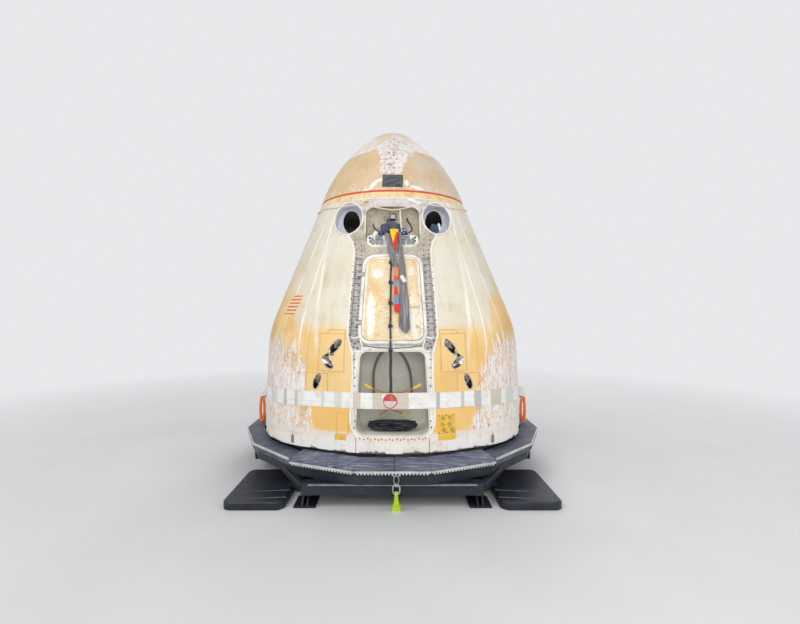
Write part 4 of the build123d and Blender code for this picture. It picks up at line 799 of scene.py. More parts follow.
def bolt_model(radius, tall):
    """A bolt head on its washer, lying on the XY plane."""
    washer = added(bpy.ops.mesh.primitive_cylinder_add, vertices=12, radius=radius * 1.5, depth=tall * 0.4,
                   location=(0, 0, tall * 0.2))
    return edited(washer, (bpy.ops.mesh.inset, {"thickness": radius * 0.5}),
                  (bpy.ops.mesh.extrude_region_move, {"TRANSFORM_OT_translate": {"value": (0, 0, tall * 0.6)}}),
                  facing=Vector((0, 0, 1)))


def bolts(name, places, radius, tall, finish, body="root"):
    """Bolt heads at (point, normal) places, as one piece."""
    model = bolt_model(radius, tall)
    turned = [(point, normal, 0.3 * number) for number, (point, normal) in enumerate(places)]
    return settle(copies(model, turned), name, finish, body, 35)


def draped_patch(name, corners, across, along, place, thickness, finish, body="root", bevel=0.0):
    """A plate that follows the surface: a grid whose points place(u, v) finds, given a thickness outwards."""
    plate = added(bpy.ops.mesh.primitive_grid_add, x_subdivisions=across, y_subdivisions=along, size=2)
    (x0, y0), (x1, y1), (x2, y2), (x3, y3) = corners
    for vertex in plate.data.vertices:
        u = (vertex.co.x + 1) / 2
        v = (vertex.co.y + 1) / 2
        low = (x0 + (x1 - x0) * u, y0 + (y1 - y0) * u)
        high = (x3 + (x2 - x3) * u, y3 + (y2 - y3) * u)
        vertex.co = place(low[0] + (high[0] - low[0]) * v, low[1] + (high[1] - low[1]) * v)
    use("SOLIDIFY", plate, thickness=thickness, offset=1.0)
    if bevel:
        use("BEVEL", plate, width=bevel, segments=2, limit_method="ANGLE", angle_limit=math.radians(50))
    return settle(plate, name, finish, body, 40)


def strip(name, spots, width, thickness, finish, body, offset, rounded):
    """A flat strip along (point, normal) spots."""
    count = len(spots) - 1
    piece = added(bpy.ops.mesh.primitive_grid_add, x_subdivisions=count, y_subdivisions=2, size=2)
    for vertex in piece.data.vertices:
        index = round((vertex.co.x + 1) / 2 * count)
        point, normal = spots[index]
        ahead = spots[min(index + 1, count)][0] - spots[max(index - 1, 0)][0]
        vertex.co = point + normal.cross(ahead).normalized() * (vertex.co.y * width / 2)
    use("SOLIDIFY", piece, thickness=thickness, offset=offset)
    if rounded:
        use("SUBSURF", piece, levels=1, render_levels=1)
    return outwards(settle(piece, name, finish, body, 50))


def tape(name, points, width, thickness, finish, place, body="root"):
    """A flat strip on the surface: place gives each point as (point, normal)."""
    return strip(name, [place(*point) for point in points], width, thickness, finish, body, 1.0, False)


def webbing(name, points, width, thickness, finish, facing):
    """A flat strap through points in space; facing is the way its flat side looks."""
    facing = Vector(facing).normalized()
    spots = [(Vector(point), facing) for point in points]
    return strip(name, spots, width, thickness, finish, "root", 0.0, True)


def between(points, steps):
    """Points added evenly between the given ones."""
    line = []
    for first, second in zip(points, points[1:]):
        for step in range(steps):
            line.append(tuple(a + (b - a) * step / steps for a, b in zip(first, second)))
    line.append(points[-1])
    return line


def curve_through(points, closed, resolution):
    """A NURBS curve that has the points as its control points."""
    curve = bpy.data.curves.new("route", "CURVE")
    curve.dimensions = "3D"
    spline = curve.splines.new("NURBS")
    spline.points.add(len(points) - 1)
    for knot, point in zip(spline.points, points):
        knot.co = (*point, 1)
    spline.order_u = 3
    spline.use_endpoint_u = not closed
    spline.use_cyclic_u = closed
    spline.resolution_u = resolution
    line = bpy.data.objects.new("route", curve)
    bpy.context.scene.collection.objects.link(line)
    return line


def tube_along(points, radius, sides=10, closed=False):
    """A round tube through points, from a bevelled curve made a mesh."""
    tube = curve_through(points, closed, 4)
    tube.data.bevel_depth = radius
    tube.data.bevel_resolution = max(1, sides // 4 - 1)
    tube.data.use_fill_caps = True
    deselect()
    tube.select_set(True)
    bpy.context.view_layer.objects.active = tube
    bpy.ops.object.convert(target="MESH")
    return bpy.context.object


# Frame round the hatch and the bays
front_nodes = [cad[name] for name in ("front_skin", "hatch_frame", "bay_rim", "side_hatch", "base_ring")]


def front_spot(x, height, proud=0.0012):
    return on_front(x, height, proud, front_nodes)


for side, name in SIDES:
    for label, points, steps, width, thickness in (
            ("Frame_edge", [(0.6, 2.748), (0.575, 2.7), (0.53, 2.62), (0.508, 2.52), (0.508, 2.36), (0.535, 1.9),
                            (0.552, 1.42), (0.52, 1.3), (0.492, 1.2), (0.486, 0.95), (0.494, 0.75), (0.512, 0.45),
                            (0.512, 0.34), (0.47, 0.24), (0.4, 0.205)], 4, 0.021, 0.005),
            ("Trough_top", [(0.395, 2.372), (0.505, 2.372)], 4, 0.018, 0.005),
            ("Trough_foot", [(0.400, 1.395), (0.470, 1.375), (0.548, 1.405)], 3, 0.016, 0.006),
            ("Gusset_edge", [(0.395, 1.36), (0.365, 1.275), (0.395, 1.215), (0.470, 1.225)], 4, 0.015, 0.005)):
        tape(f"{label}_{name}", between(on_side(side, points), steps), width, thickness, border_finish, front_spot)
    corners = on_side(side, [(0.385, 1.235), (0.475, 1.24), (0.535, 1.36), (0.405, 1.36)])
    draped_patch(f"Corner_gusset_{name}", corners, 8, 8, lambda x, h: front_spot(x, h)[0],
                 0.006 * side, trough_finish)
    bolts(f"Gusset_bolts_{name}",
          [front_spot(side * x, h, 0.006) for x, h in
           ((0.42, 1.335), (0.50, 1.345), (0.425, 1.26), (0.47, 1.27), (0.46, 1.31))], 0.009, 0.008, fitting_finish)

rim_spots = []
for side in (-1, 1):
    for x, heights in ((0.460, (1.12, 1.02, 0.90, 0.80, 0.38, 0.30)), (0.50, (2.66, 2.60)),
                       (0.475, (2.52, 2.46, 2.41)), (0.41, (2.58, 2.50, 2.44))):
        rim_spots += [front_spot(side * x, h) for h in heights]
bolts("Frame_bolts", rim_spots, 0.0065, 0.006, fitting_finish)
rust_finish = worn_paint("Rusty bolt", (206, 132, 62), (150, 92, 52), 30.0, 0.8, (0.6, 0.8))
foot_spots = [front_spot(x * 0.044 + 0.008 * (x * x % 3), 0.166 + 0.010 * (x * x % 4)) for x in range(-9, 10)]
bolts("Foot_bolts", foot_spots, 0.0070, 0.006, rust_finish)

trough_spots = []
for side in (-1, 1):
    for step in range(11):
        h = 2.30 - step * 0.088
        for x in (0.425, 0.515):
            trough_spots.append(from_front([cad["riser_troughs"], cad["front_skin"]],
                                           side * (x + (2.3 - h) * 0.018), h))
bolts("Trough_screws", trough_spots, 0.0075, 0.008, fitting_finish)

# Tube lips: white rolled edges round both drogue tubes
for side, name in SIDES:
    ring = []
    for angle in circle(48):
        found = from_front([cad["drogue_tubes"], cad["front_skin"], cad[f"pod_front_{name}"]],
                           side * 0.612 + 0.208 * math.cos(angle), 2.988 + 0.240 * math.sin(angle))
        ring.append(found[0] + Vector((0, -0.004, 0.0015)))
    settle(tube_along(ring, 0.012, closed=True), f"Tube_lip_{name}", border_finish, smooth=60)

# Panels round the thrusters
yellow_finish = worn_paint("Yellow plate", (238, 192, 60), (214, 160, 40), 14.0, 0.7, (0.45, 0.6),
                           spots=((250, 236, 190), 0.62, 30.0))
dark_hole = worn_paint("Socket dark", (46, 40, 38), (110, 96, 84), 24.0, 0.7, (0.3, 0.5), 0.6)


def outlined_panel(name, first, last, low, high, skip=()):
    """A raised panel line: a thin rim round a rectangle on the hull, by degrees and heights."""
    corners = [(first, low), (last, low), (last, high), (first, high)]
    rims = [tape(f"rim{number}", between([corners[number], corners[(number + 1) % 4]], 8), 0.01, 0.0035,
                 line_finish, lambda t, h: on_hull(t, h, 0.0005)) for number in range(4) if number not in skip]
    return settle(joined(rims), name, line_finish, smooth=50)


line_finish = worn_paint("Panel seam", (228, 186, 118), (206, 156, 88), 9.0, 0.8, (0.5, 0.7))
for side, name in SIDES:
    outlined_panel(f"Thruster_panel_upper_{name}", side * 17.7, side * 28.2, 0.965, 1.43)
    outlined_panel(f"Thruster_panel_step_{name}", side * 17.7, side * 25.0, 1.43, 1.475, (0,))
    outlined_panel(f"Thruster_panel_lower_{name}", side * 24.2, side * 33.6, 0.66, 0.935, (0,))
outlined_panel("Access_panel_left", -20.2, -15.7, 0.21, 0.465)

# Ropes: the routes of the CAD source, each a smooth line with strands laid along it
KNOTTED_ROUTE = [(-0.02, -1.4863, 3.18), (-0.026, -1.5463, 3.03), (-0.018, -1.6073, 2.88), (-0.028, -1.6673, 2.73),
                 (-0.02, -1.7283, 2.58), (-0.03, -1.7893, 2.43), (-0.022, -1.8493, 2.28), (-0.03, -1.9093, 2.13),
                 (-0.022, -1.9433, 2.0), (-0.026, -1.9623, 1.88)]
BRAIDED_ROUTE = [(-0.026, -1.9751, 1.862), (-0.018, -1.9731, 1.74), (-0.028, -1.9571, 1.6), (-0.018, -1.9511, 1.45),
                 (-0.022, -1.9531, 1.33)]


def smooth_line(route):
    """The points along a smooth NURBS line that has the route as its control points."""
    line = curve_through(route, False, 24)
    bpy.context.view_layer.update()
    mesh = bpy.data.meshes.new_from_object(line)
    points = [vertex.co.copy() for vertex in mesh.vertices]
    bpy.data.objects.remove(line)
    return points


def laid_strands(points, strands, radius, offset, pitch, braid=False):
    """Strands twisted or braided round a line, as one mesh."""
    made = []
    across = Vector((1, 0, 0))
    for number in range(strands):
        places = []
        run = 0.0
        for index, point in enumerate(points):
            if index:
                run += (point - points[index - 1]).length
            ahead = (points[min(index + 1, len(points) - 1)] - points[max(index - 1, 0)]).normalized()
            outward = ahead.cross(across).normalized()
            phase = 2 * math.pi * (run / pitch + number / strands)
            if braid:
                places.append(point + across * offset * math.sin(phase) +
                              outward * offset * 0.5 * math.sin(2 * phase))
            else:
                places.append(point + (across * math.cos(phase) + outward * math.sin(phase)) * offset)
        made.append(tube_along(places, radius, 8))
    return joined(made)


def rope_knot(place, size, thick):
    """An overhand knot: a thick strand wound three times round the rope."""
    loop = []
    for angle in circle(36):
        reach = size * (0.62 + 0.38 * math.cos(3 * angle))
        loop.append(place + Vector((reach * math.cos(2 * angle), 0.55 * size * math.sin(3 * angle),
                                    0.9 * reach * math.sin(2 * angle))))
    return tube_along(loop, thick, 8, closed=True)


knotted_line = smooth_line(KNOTTED_ROUTE)
knotted_rope = settle(laid_strands(knotted_line, 3, 0.0066, 0.0062, 0.075), "Knotted_rope", rope_finish, smooth=60)
braided_line = smooth_line(BRAIDED_ROUTE)
braided_rope = settle(laid_strands(braided_line, 3, 0.0086, 0.0105, 0.12, braid=True), "Braided_rope", rope_finish,
                      smooth=60)


def along_rope(points, height):
    """The point of a rope's line nearest to a height over the ring's edge."""
    return min(points, key=lambda point: abs(point.z - EDGE - height))


rope_knots = settle(joined([rope_knot(along_rope(knotted_line, height) + Vector((0, -0.008, 0.002)), 0.025, 0.0085)
                            for height in (2.334, 2.069, 1.81, 1.527)]), "Rope_knots", rope_finish, smooth=60)
join_knot = settle(rope_knot(along_rope(braided_line, 1.235) + Vector((0, -0.004, 0)), 0.022, 0.009), "Join_knot",
                   rope_finish, smooth=60)
end_knot = settle(rope_knot(braided_line[-1] + Vector((0, -0.002, 0.012)), 0.02, 0.008), "Braid_end_knot",
                  rope_finish, smooth=60)

# Sleeves, striped tail and ribbon, all in the plane of the hatch
HATCH_TOP_BEND = on_hatch(0.0, 2.62)
HATCH_LOW_BEND = on_hatch(0.0, 2.20)


def level_at(line, height):
    """The distance from the middle on a line of (height, x) points, at a height."""
    for (high, first), (low, second) in zip(line, line[1:]):
        if low <= height <= high:
            return first + (second - first) * (high - height) / (high - low)
    return line[-1][1] if height < line[-1][0] else line[0][1]


def hanging_cloth(name, left, right, level, thick, finish, folds, seed, round_foot=0.0):
    """A flat sleeve or tail hanging over the hatch: its two edges as (height, x), its level and its thickness."""
    top = left[0][0]
    foot = left[-1][0]
    piece = added(bpy.ops.mesh.primitive_grid_add, x_subdivisions=39, y_subdivisions=int((top - foot) / 0.011),
                  size=2)
    for vertex in piece.data.vertices:
        turn = (vertex.co.x + 1) * math.pi
        height = foot + (top - foot) * (vertex.co.y + 1) / 2
        low = level_at(left, height)
        high = level_at(right, height)
        half = (high - low) / 2
        if round_foot:
            near = max(0.0, 1 - (height - foot) / round_foot)
            half *= math.sqrt(max(0.03, 1 - near * near))
        across = math.cos(turn)
        body = math.copysign(abs(math.sin(turn)) ** 0.7, math.sin(turn)) * 0.5
        wrinkle = sum(share * math.sin(waves * across + slant * height + seed) for waves, slant, share in folds)
        rise = level + thick * (0.5 + body) + thick * 0.32 * wrinkle * max(0.0, body) * 2
        rise += 0.002 * noise.noise(Vector((across * 2.2, height * 9, seed)))
        edge_wave = 0.0035 * noise.noise(Vector((seed + 4, height * 7, across * 0.5)))
        vertex.co = on_hatch((low + high) / 2 + half * across + edge_wave, height, rise)
    outwards(piece, merge=0.0004, fill=True)
    use("SUBSURF", piece, levels=1, render_levels=1)
    return settle(piece, name, finish, "root", 60)


LONG_LEFT = [(2.75, 0.055), (2.45, 0.074), (2.277, 0.083), (2.1, 0.083), (1.8, 0.089), (1.67, 0.08), (1.52, 0.07),
             (1.475, 0.105), (1.44, 0.145)]
LONG_RIGHT = [(2.75, 0.118), (2.506, 0.135), (2.277, 0.164), (2.1, 0.175), (1.94, 0.193), (1.8, 0.197),
              (1.67, 0.206), (1.5, 0.217), (1.475, 0.208), (1.44, 0.176)]
sleeve_long = hanging_cloth("Sleeve_long", LONG_LEFT, LONG_RIGHT, 0.0068, 0.020, grey_cloth,
                            [(3.2, 5.0, 0.8), (6.5, -8.0, 0.6), (2.0, 14.0, 0.4)], 0.7, 0.014)
sleeve_fold = hanging_cloth("Sleeve_fold", [(2.02, 0.112), (1.80, 0.118), (1.62, 0.134), (1.50, 0.146)],
                            [(2.02, 0.148), (1.80, 0.184), (1.70, 0.194), (1.50, 0.158)], 0.0305, 0.0140,
                            lit_fold_cloth, [(3.0, 8.0, 0.3)], 2.1, 0.03)
sleeve_short = hanging_cloth("Sleeve_short", [(2.72, -0.108), (2.66, -0.104), (2.42, -0.042), (2.255, 0.007)],
                             [(2.72, -0.010), (2.486, 0.036), (2.255, 0.070)], 0.0290, 0.020, grey_cloth,
                             [(3.4, -7.0, 0.8), (7.0, 9.0, 0.55)], 3.3)
f = Finish("Striped tail", roughness=0.8, sheen=0.3)
height = f.z - EDGE
stripes = f.bands(height + f.noise(30.0, 3.0) * 0.012, 1.66, 2.30, (
    (1.66, (232, 36, 30)), (1.804, (122, 146, 168)), (1.912, (232, 52, 38)), (2.013, (126, 150, 172)),
    (2.100, (226, 84, 62)), (2.165, (232, 138, 108)), (2.25, (214, 132, 104))))
f.paint(f.layers(stripes, (f.noise(22.0, 5.0, 0.7), 0.5, 0.72, 0.5, (120, 96, 90))))
f.relief(f.noise(300.0, 3.0), 0.3, 0.002)
TAIL_LEFT = [(2.27, 0.016), (2.18, 0.021), (2.08, 0.014), (1.97, 0.02), (1.675, 0.018)]
TAIL_RIGHT = [(2.27, 0.07), (2.18, 0.076), (2.08, 0.061), (1.97, 0.06), (1.85, 0.08), (1.675, 0.087)]
striped_tail = hanging_cloth("Striped_tail", TAIL_LEFT, TAIL_RIGHT, 0.029, 0.014, f.material,
                             [(4.0, 20.0, 0.5), (9.0, -13.0, 0.3)], 5.0, 0.04)

f = Finish("Cone ribbon", roughness=0.75)
height = f.z - EDGE
core = f.ramp(height, 2.60, 2.73, 0.0, 0.036) - abs(f.x - 0.007)
f.paint(f.layers(
    (226, 50, 20),
    (core, -0.002, 0.002, 1.0, (248, 206, 30)),
    (height, 2.735, 2.755, 1.0, (246, 196, 40)),
    (f.noise(26.0, 5.0, 0.7), 0.5, 0.72, 0.4, (170, 40, 20))))
f.relief(f.noise(280.0, 3.0), 0.3, 0.002)
cone_ribbon = hanging_cloth("Cone_ribbon", [(2.770, -0.040), (2.70, -0.032), (2.475, 0.026)],
                            [(2.770, 0.078), (2.70, 0.072), (2.475, 0.044)], 0.0512, 0.018, f.material,
                            [(4.0, 9.0, 0.5), (8.0, -9.0, 0.3)], 8.0)
tag_ends = [tuple(on_hatch(0.106, 2.15, 0.034)), tuple(on_hatch(0.158, 2.06, 0.036))]
sleeve_tag = webbing("Sleeve_tag", between(tag_ends, 4), 0.052, 0.0025, belt_white, (0, -1, 0.4))


# Hide the CAD parts the soft pieces replace, and take the pieces over the hatch out of their bodies, their placement
# baked in
for piece, node in ((sleeve_long, "sleeve_long"), (sleeve_short, "sleeve_short"), (striped_tail, "striped_tail"),
                    (cone_ribbon, "cone_ribbon"), (knotted_rope, "knotted_rope"), (braided_rope, "braided_rope")):
    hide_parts(node)
over_the_hatch = [sleeve_long, sleeve_fold, sleeve_short, striped_tail, sleeve_tag, knotted_rope, braided_rope,
                  rope_knots, join_knot, end_knot]
for piece in over_the_hatch:
    piece.parent = None
    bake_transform(piece)

# Belt: a sewn band of cloth round the hull, lower at the back, in pale lengths of several greys
BELT_MIDDLE = 0.500
BELT_RISE = 0.130
BELT_HALF = 0.096
BELT_PLACE = [cad["belt"]]


def belt_height(turn, up):
    return BELT_MIDDLE + BELT_RISE * math.cos(math.radians(turn)) + up


f = Finish("Belt cloth", roughness=0.85, sheen=0.25)
turn, height = f.round_hull()
WHITE, GREY, LIGHT, TAN = (240, 240, 236), (188, 187, 188), (219, 221, 213), (211, 200, 184)
lengths = f.bands(turn, -180.0, 180.0, (
    (-180, WHITE), (-54.6, LIGHT), (-48.5, WHITE), (-44.8, GREY), (-42.2, WHITE), (-39.2, TAN), (-37.1, WHITE),
    (-27.5, LIGHT), (-26.1, WHITE), (-22.0, LIGHT), (-19.0, WHITE), (-15.0, TAN), (-12.2, WHITE), (-8.2, TAN),
    (5.2, WHITE), (14.5, GREY), (15.6, WHITE), (24.7, TAN), (26.7, WHITE), (30.9, GREY), (33.6, WHITE), (37.7, TAN),
    (42.7, WHITE), (45.8, LIGHT), (52.9, WHITE), (78.0, LIGHT), (96.0, WHITE), (121.0, GREY), (126.0, WHITE),
    (158.0, TAN), (166.0, WHITE)))
edge = abs(height - (BELT_MIDDLE + BELT_RISE * f.sum("COSINE", f.sum("RADIANS", turn))))
shade = f.layers(lengths, (f.noise(7.0, 5.0, 0.65), 0.45, 0.7, 0.45, (196, 184, 164)))
for seam in (0.086, 0.030):
    shade = f.over(f.ramp(abs(edge - seam), 0.0012, 0.0022, 0.28, 0.0), shade, (150, 146, 140))
f.paint(shade)
f.relief(f.noise(420.0, 2.0, 0.5) + edge * -3.0, 0.25, 0.002)
belt_band = added(bpy.ops.mesh.primitive_grid_add, x_subdivisions=719, y_subdivisions=9, size=2)
for vertex in belt_band.data.vertices:
    turn = vertex.co.x * 180
    up = vertex.co.y * BELT_HALF
    fold = 0.0
    for middle, wide, high in ((-24.0, 1.4, 0.0045), (15.2, 1.0, 0.004), (-8.2, 0.5, 0.002), (60.0, 1.2, 0.004),
                               (-66.0, 1.3, 0.004), (110.0, 1.4, 0.005), (-118.0, 1.2, 0.004), (150.0, 1.5, 0.004)):
        slant = middle + up * 14
        fold = max(fold, high * max(0.0, 1 - abs(turn - slant) / wide))
    ring = Vector((math.cos(math.radians(turn)), math.sin(math.radians(turn)), 0)) * 2.2
    drift = 0.0015 * noise.noise(ring * 3 + Vector((0, 0, 1.7)))
    point, normal = on_hull(turn, belt_height(turn, up + drift), nodes=BELT_PLACE)
    ripple = 0.0012 * (1 + noise.noise(ring * 9 + Vector((0, 0, up * 20))))
    vertex.co = point + normal * (ripple + fold - 0.0108)
outwards(belt_band, merge=0.0005)
use("SOLIDIFY", belt_band, thickness=0.004, offset=1.0)
settle(belt_band, "Belt_band", f.material, smooth=50)

f = Finish("Belt disc", roughness=0.7)
up = f.z - (EDGE + 0.628)
side = f.x + 0.031
out = f.sum("SQRT", side * side + up * up)
f.paint(f.layers(
    (216, 200, 194),
    (f.z, EDGE + 0.628, EDGE + 0.632, 1.0, (196, 74, 68)),
    (out, 0.074, 0.076, 1.0, (190, 66, 60)),
    (f.noise(24.0, 4.0), 0.5, 0.7, 0.4, (190, 160, 150))))
disc = edited(added(bpy.ops.mesh.primitive_circle_add, vertices=48, radius=1, fill_type="NGON"),
              (bpy.ops.mesh.inset, {"thickness": 0.14}), (bpy.ops.mesh.inset, {"thickness": 0.30}))
for vertex in disc.data.vertices:
    spot, normal = on_hull(-0.9 + math.degrees(vertex.co.x * 0.086 / 1.98), 0.628 + vertex.co.y * 0.086,
                           nodes=BELT_PLACE)
    vertex.co = spot - normal * 0.0040
use("SOLIDIFY", disc, thickness=0.003, offset=1.0)
settle(disc, "Belt_disc", f.material)
draped_patch("Belt_tag", [(-3.6, 0.585), (-2.4, 0.585), (-2.4, 0.71), (-3.6, 0.71)], 3, 6,
             lambda t, h: on_hull(t, h, -0.0034, BELT_PLACE)[0], 0.002, belt_white)
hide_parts("belt")


# Slings: orange webbing looped down from white wraps at the sides, with a steel bow through each wrap
SLING_RADIUS = 2.082
SLING_LOW = -0.048
SLING_TALL = 0.400
WRAP_TALL = 0.110
sling_parts = []
wrap_parts = []
bow_parts = []
for turn in (-84.0, 84.0):
    angle = math.radians(turn)
    out = Vector((math.sin(angle), -math.cos(angle), 0))
    aside = Vector((math.cos(angle), math.sin(angle), 0))
    up = Vector((0, 0, 1))
    foot = out * SLING_RADIUS + up * (EDGE + SLING_LOW)
    loop = []
    for phase in circle(48):
        flat = 0.5 + 0.5 * math.tanh(3.4 * math.sin(phase)) / math.tanh(3.4)
        spread = math.tanh(3.0 * math.cos(phase)) * 0.0175
        bow_out = 0.014 * math.sin(math.pi * flat) * math.cos(phase)
        loop.append(foot + out * (spread + bow_out) + aside * (0.010 * math.sin(math.pi * flat) * math.sin(phase)) +
                    up * (0.016 + 0.366 * flat))
    sling = tube_along(loop, 0.0215, 12, closed=True)
    for vertex in sling.data.vertices:
        vertex.co += aside * ((vertex.co - foot).dot(aside) * 0.9)
        vertex.co += out * 0.0018 * noise.noise(vertex.co * 60)
    sling_parts.append(sling)

    middle = out * 2.052 + up * (EDGE + SLING_LOW + SLING_TALL + WRAP_TALL / 2)
    wrap = added(bpy.ops.mesh.primitive_uv_sphere_add, segments=40, ring_count=24, radius=1)
    for vertex in wrap.data.vertices:
        way = vertex.co.copy()
        square = Vector([math.copysign(abs(value) ** 0.55, value) for value in way])
        crease = 1 + 0.05 * math.sin(9 * way.z + 3 * way.x) + 0.06 * noise.noise(way * 3 + Vector((turn, 0, 0)))
        vertex.co = middle + (out * square.x * 0.06 + aside * square.y * 0.064 +
                              up * (square.z * 0.078 + 0.022)) * crease
    wrap_parts.append(wrap)
    for level in (-0.024, 0.022):
        ring = [middle + out * (0.062 * math.cos(a)) + aside * (0.067 * math.sin(a)) + up * level
                for a in circle(28)]
        wrap_parts.append(tube_along(ring, 0.0045, 8, closed=True))
    bow = [middle + out * (0.020 * math.cos(a)) + aside * (0.038 * math.sin(a)) +
           up * (-0.062 + 0.034 * math.cos(2 * a)) for a in circle(24)]
    bow_parts.append(tube_along(bow, 0.006, 8, closed=True))
side_loops = settle(joined(sling_parts), "Side_slings", orange_cloth, smooth=60)
side_wraps = settle(joined(wrap_parts), "Side_wraps", belt_white, smooth=60)
settle(joined(bow_parts), "Sling_bows", shackle_finish, smooth=60)
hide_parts("side_slings")
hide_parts("side_shackles")

# Bundle of dark crumpled cloth on the floor of the lower bay
bundle = added(bpy.ops.mesh.primitive_uv_sphere_add, segments=96, ring_count=64, radius=1,
               rotation=(0, math.pi / 2, 0))
bpy.ops.object.transform_apply(location=True, rotation=True, scale=True)
low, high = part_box("bay_bundle")
middle = (Vector(low) + Vector(high)) / 2
half = (Vector(high) - Vector(low)) / 2
for vertex in bundle.data.vertices:
    way = vertex.co.copy()
    square = Vector((math.copysign(abs(way.x) ** 0.5, way.x), way.y, way.z))
    crumple = 1.0
    for share, scale, shift in ((0.30, 2.3, 0), (0.20, 5.1, 3), (0.10, 11.0, 0)):
        crumple -= share * abs(noise.noise(way * scale + Vector((shift, 0, 0))))
    place = Vector((square.x * half.x * 0.98, square.y * half.y * crumple, square.z * half.z * crumple))
    place.z = max(place.z, -half.z * 0.96)
    vertex.co = middle + place
shiny_dark = worn_paint("Dark sheet", (22, 23, 28), (58, 60, 70), 18.0, 0.8, (0.22, 0.5), relief=0.6)
settle(bundle, "Bay_bundle", shiny_dark, smooth=60)
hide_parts("bay_bundle")
bundle_cords = []
for number, (x0, x1, up) in enumerate(((-0.27, 0.22, 0.75), (-0.16, 0.29, 0.4), (-0.30, -0.02, 0.2))):
    line = []
    for step in range(15):
        share = step / 14
        x = x0 + (x1 - x0) * share
        lift = half.z * (0.86 + 0.10 * math.sin(5 * share + number))
        line.append(middle + Vector((x, -half.y * (up * 0.6 + 0.2 * math.sin(4 * share + number)), lift * 0.86)))
    bundle_cords.append(tube_along(line, 0.008, 8))
settle(joined(bundle_cords), "Bundle_ties", dark_finish, smooth=60)

# Straps inside the lower bay, and grey bands on its back wall that are painted shadows
arch_shadow_finish = woven("Arch shadow band", (112, 107, 107), (84, 80, 82))
orange_strap = woven("Orange strap", (186, 120, 60), (120, 78, 50))
yellow_strap = woven("Yellow strap", (236, 196, 70), (206, 156, 50))


def hung(points, steps=6):
    """Points added between the given ones on a soft curve."""
    line = [Vector(point) for point in points]
    full = []
    for index in range(len(line) - 1):
        before = line[max(index - 1, 0)]
        after = line[min(index + 2, len(line) - 1)]
        for step in range(steps):
            t = step / steps
            a, b = line[index], line[index + 1]
            tangent_a = (b - before) / 2
            tangent_b = (after - a) / 2
            full.append(a * (2 * t ** 3 - 3 * t ** 2 + 1) + tangent_a * (t ** 3 - 2 * t ** 2 + t) +
                        b * (3 * t ** 2 - 2 * t ** 3) + tangent_b * (t ** 3 - t ** 2))
    return full + [line[-1]]


def in_bay(points, side=1):
    """Points given as (x, y, height over the ring's edge), on one side or the other."""
    return [Vector((side * x, y, EDGE + height)) for x, y, height in points]


def strap(name, points, width, finish, thickness=0.003, lean=0.3, side=1):
    return webbing(name, in_bay(points, side), width, thickness, finish, (0, -1, lean))


# The arch: two grey bands from the top middle of the lower bay, apart and down its back wall, are painted shadows
# made as thin strips
arch = [strap("arch", hung([(side * x - shift, y, height) for x, shift, y, height in (
    (0.02, 0.03, -1.80, 1.262), (0.15, 0.02, -1.62, 1.14), (0.235, 0.01, -1.47, 0.93), (0.25, 0.0, -1.452, 0.70),
    (0.235, 0.0, -1.44, 0.50))]), 0.036, arch_shadow_finish, lean=0.25) for side in (-1, 1)]
settle(joined(arch), "Bay_arch_shadow", arch_shadow_finish, smooth=50)
crossed = [strap("v", hung([(-0.044, -1.80, 0.500), middle, end]), 0.022, orange_strap) for middle, end in (
    ((-0.10, -1.76, 0.455), (-0.165, -1.74, 0.405)), ((0.05, -1.76, 0.460), (0.140, -1.74, 0.420)))]
settle(joined(crossed), "Bay_crossed_straps", orange_strap, smooth=50)
strap("Bay_strap_tag", [(0.118, -1.762, 0.432), (0.155, -1.752, 0.418), (0.185, -1.748, 0.402)], 0.03, yellow_strap)
for side, name in SIDES:
    strap(f"Bay_side_strap_{name}", hung([(0.352, -1.85, 0.812), (0.255, -1.835, 0.757), (0.130, -1.80, 0.708),
                                          (0.040, -1.77, 0.690)]), 0.020, orange_strap, side=side)
    strap(f"Bay_buckle_{name}", hung([(0.35, -1.857, 0.812), (0.305, -1.85, 0.785), (0.255, -1.842, 0.757)]), 0.034,
          yellow_strap, 0.007, side=side)

# Things in the upper bay: a slate pouch, a boxed sensor with a pale face, blue cloth, a cable and a wrapped cord
slate_cloth = woven("Slate cloth", (76, 78, 98), (52, 54, 72))
navy_cloth = woven("Blue cloth", (46, 66, 98), (20, 28, 44))
pale_blue = worn_paint("Pale blue plug", (120, 158, 214), (60, 80, 130), 20.0, 0.7, (0.35, 0.5))
wrapped_cord = woven("Wrapped cord", (228, 218, 180), (196, 184, 146))
pale_face = worn_paint("Pale face", (206, 196, 186), (150, 130, 120), 24.0, 0.7, (0.4, 0.55))


def pouch(name, x, y, height, size, finish, seed, turn):
    """A stuffed cloth shape: a cube divided and drawn in between its corners, with creases."""
    piece = edited(added(bpy.ops.mesh.primitive_cube_add, size=2), (bpy.ops.mesh.subdivide, {"number_cuts": 11}))
    for vertex in piece.data.vertices:
        way = vertex.co.copy()
        mixed = way.lerp(way.normalized() * 1.25, 0.42)
        mixed *= 1 - 0.16 * abs(noise.noise(way * 1.9 + Vector((seed, 0, 0)))) * 2
        mixed += Vector((0, 0, 0.07 * math.sin(5 * way.x + seed)))
        local = Vector((mixed.x * size[0] / 2, mixed.y * size[1] / 2, mixed.z * size[2] / 2))
        vertex.co = Matrix.Rotation(turn, 3, "Y") @ local + Vector((x, y, EDGE + height))
    settle(piece, name, finish, "root", 60)


def bay_front(x, height):
    """The front of the upper bay's plane at a height, where things hang."""
    return on_hatch(x, height).y


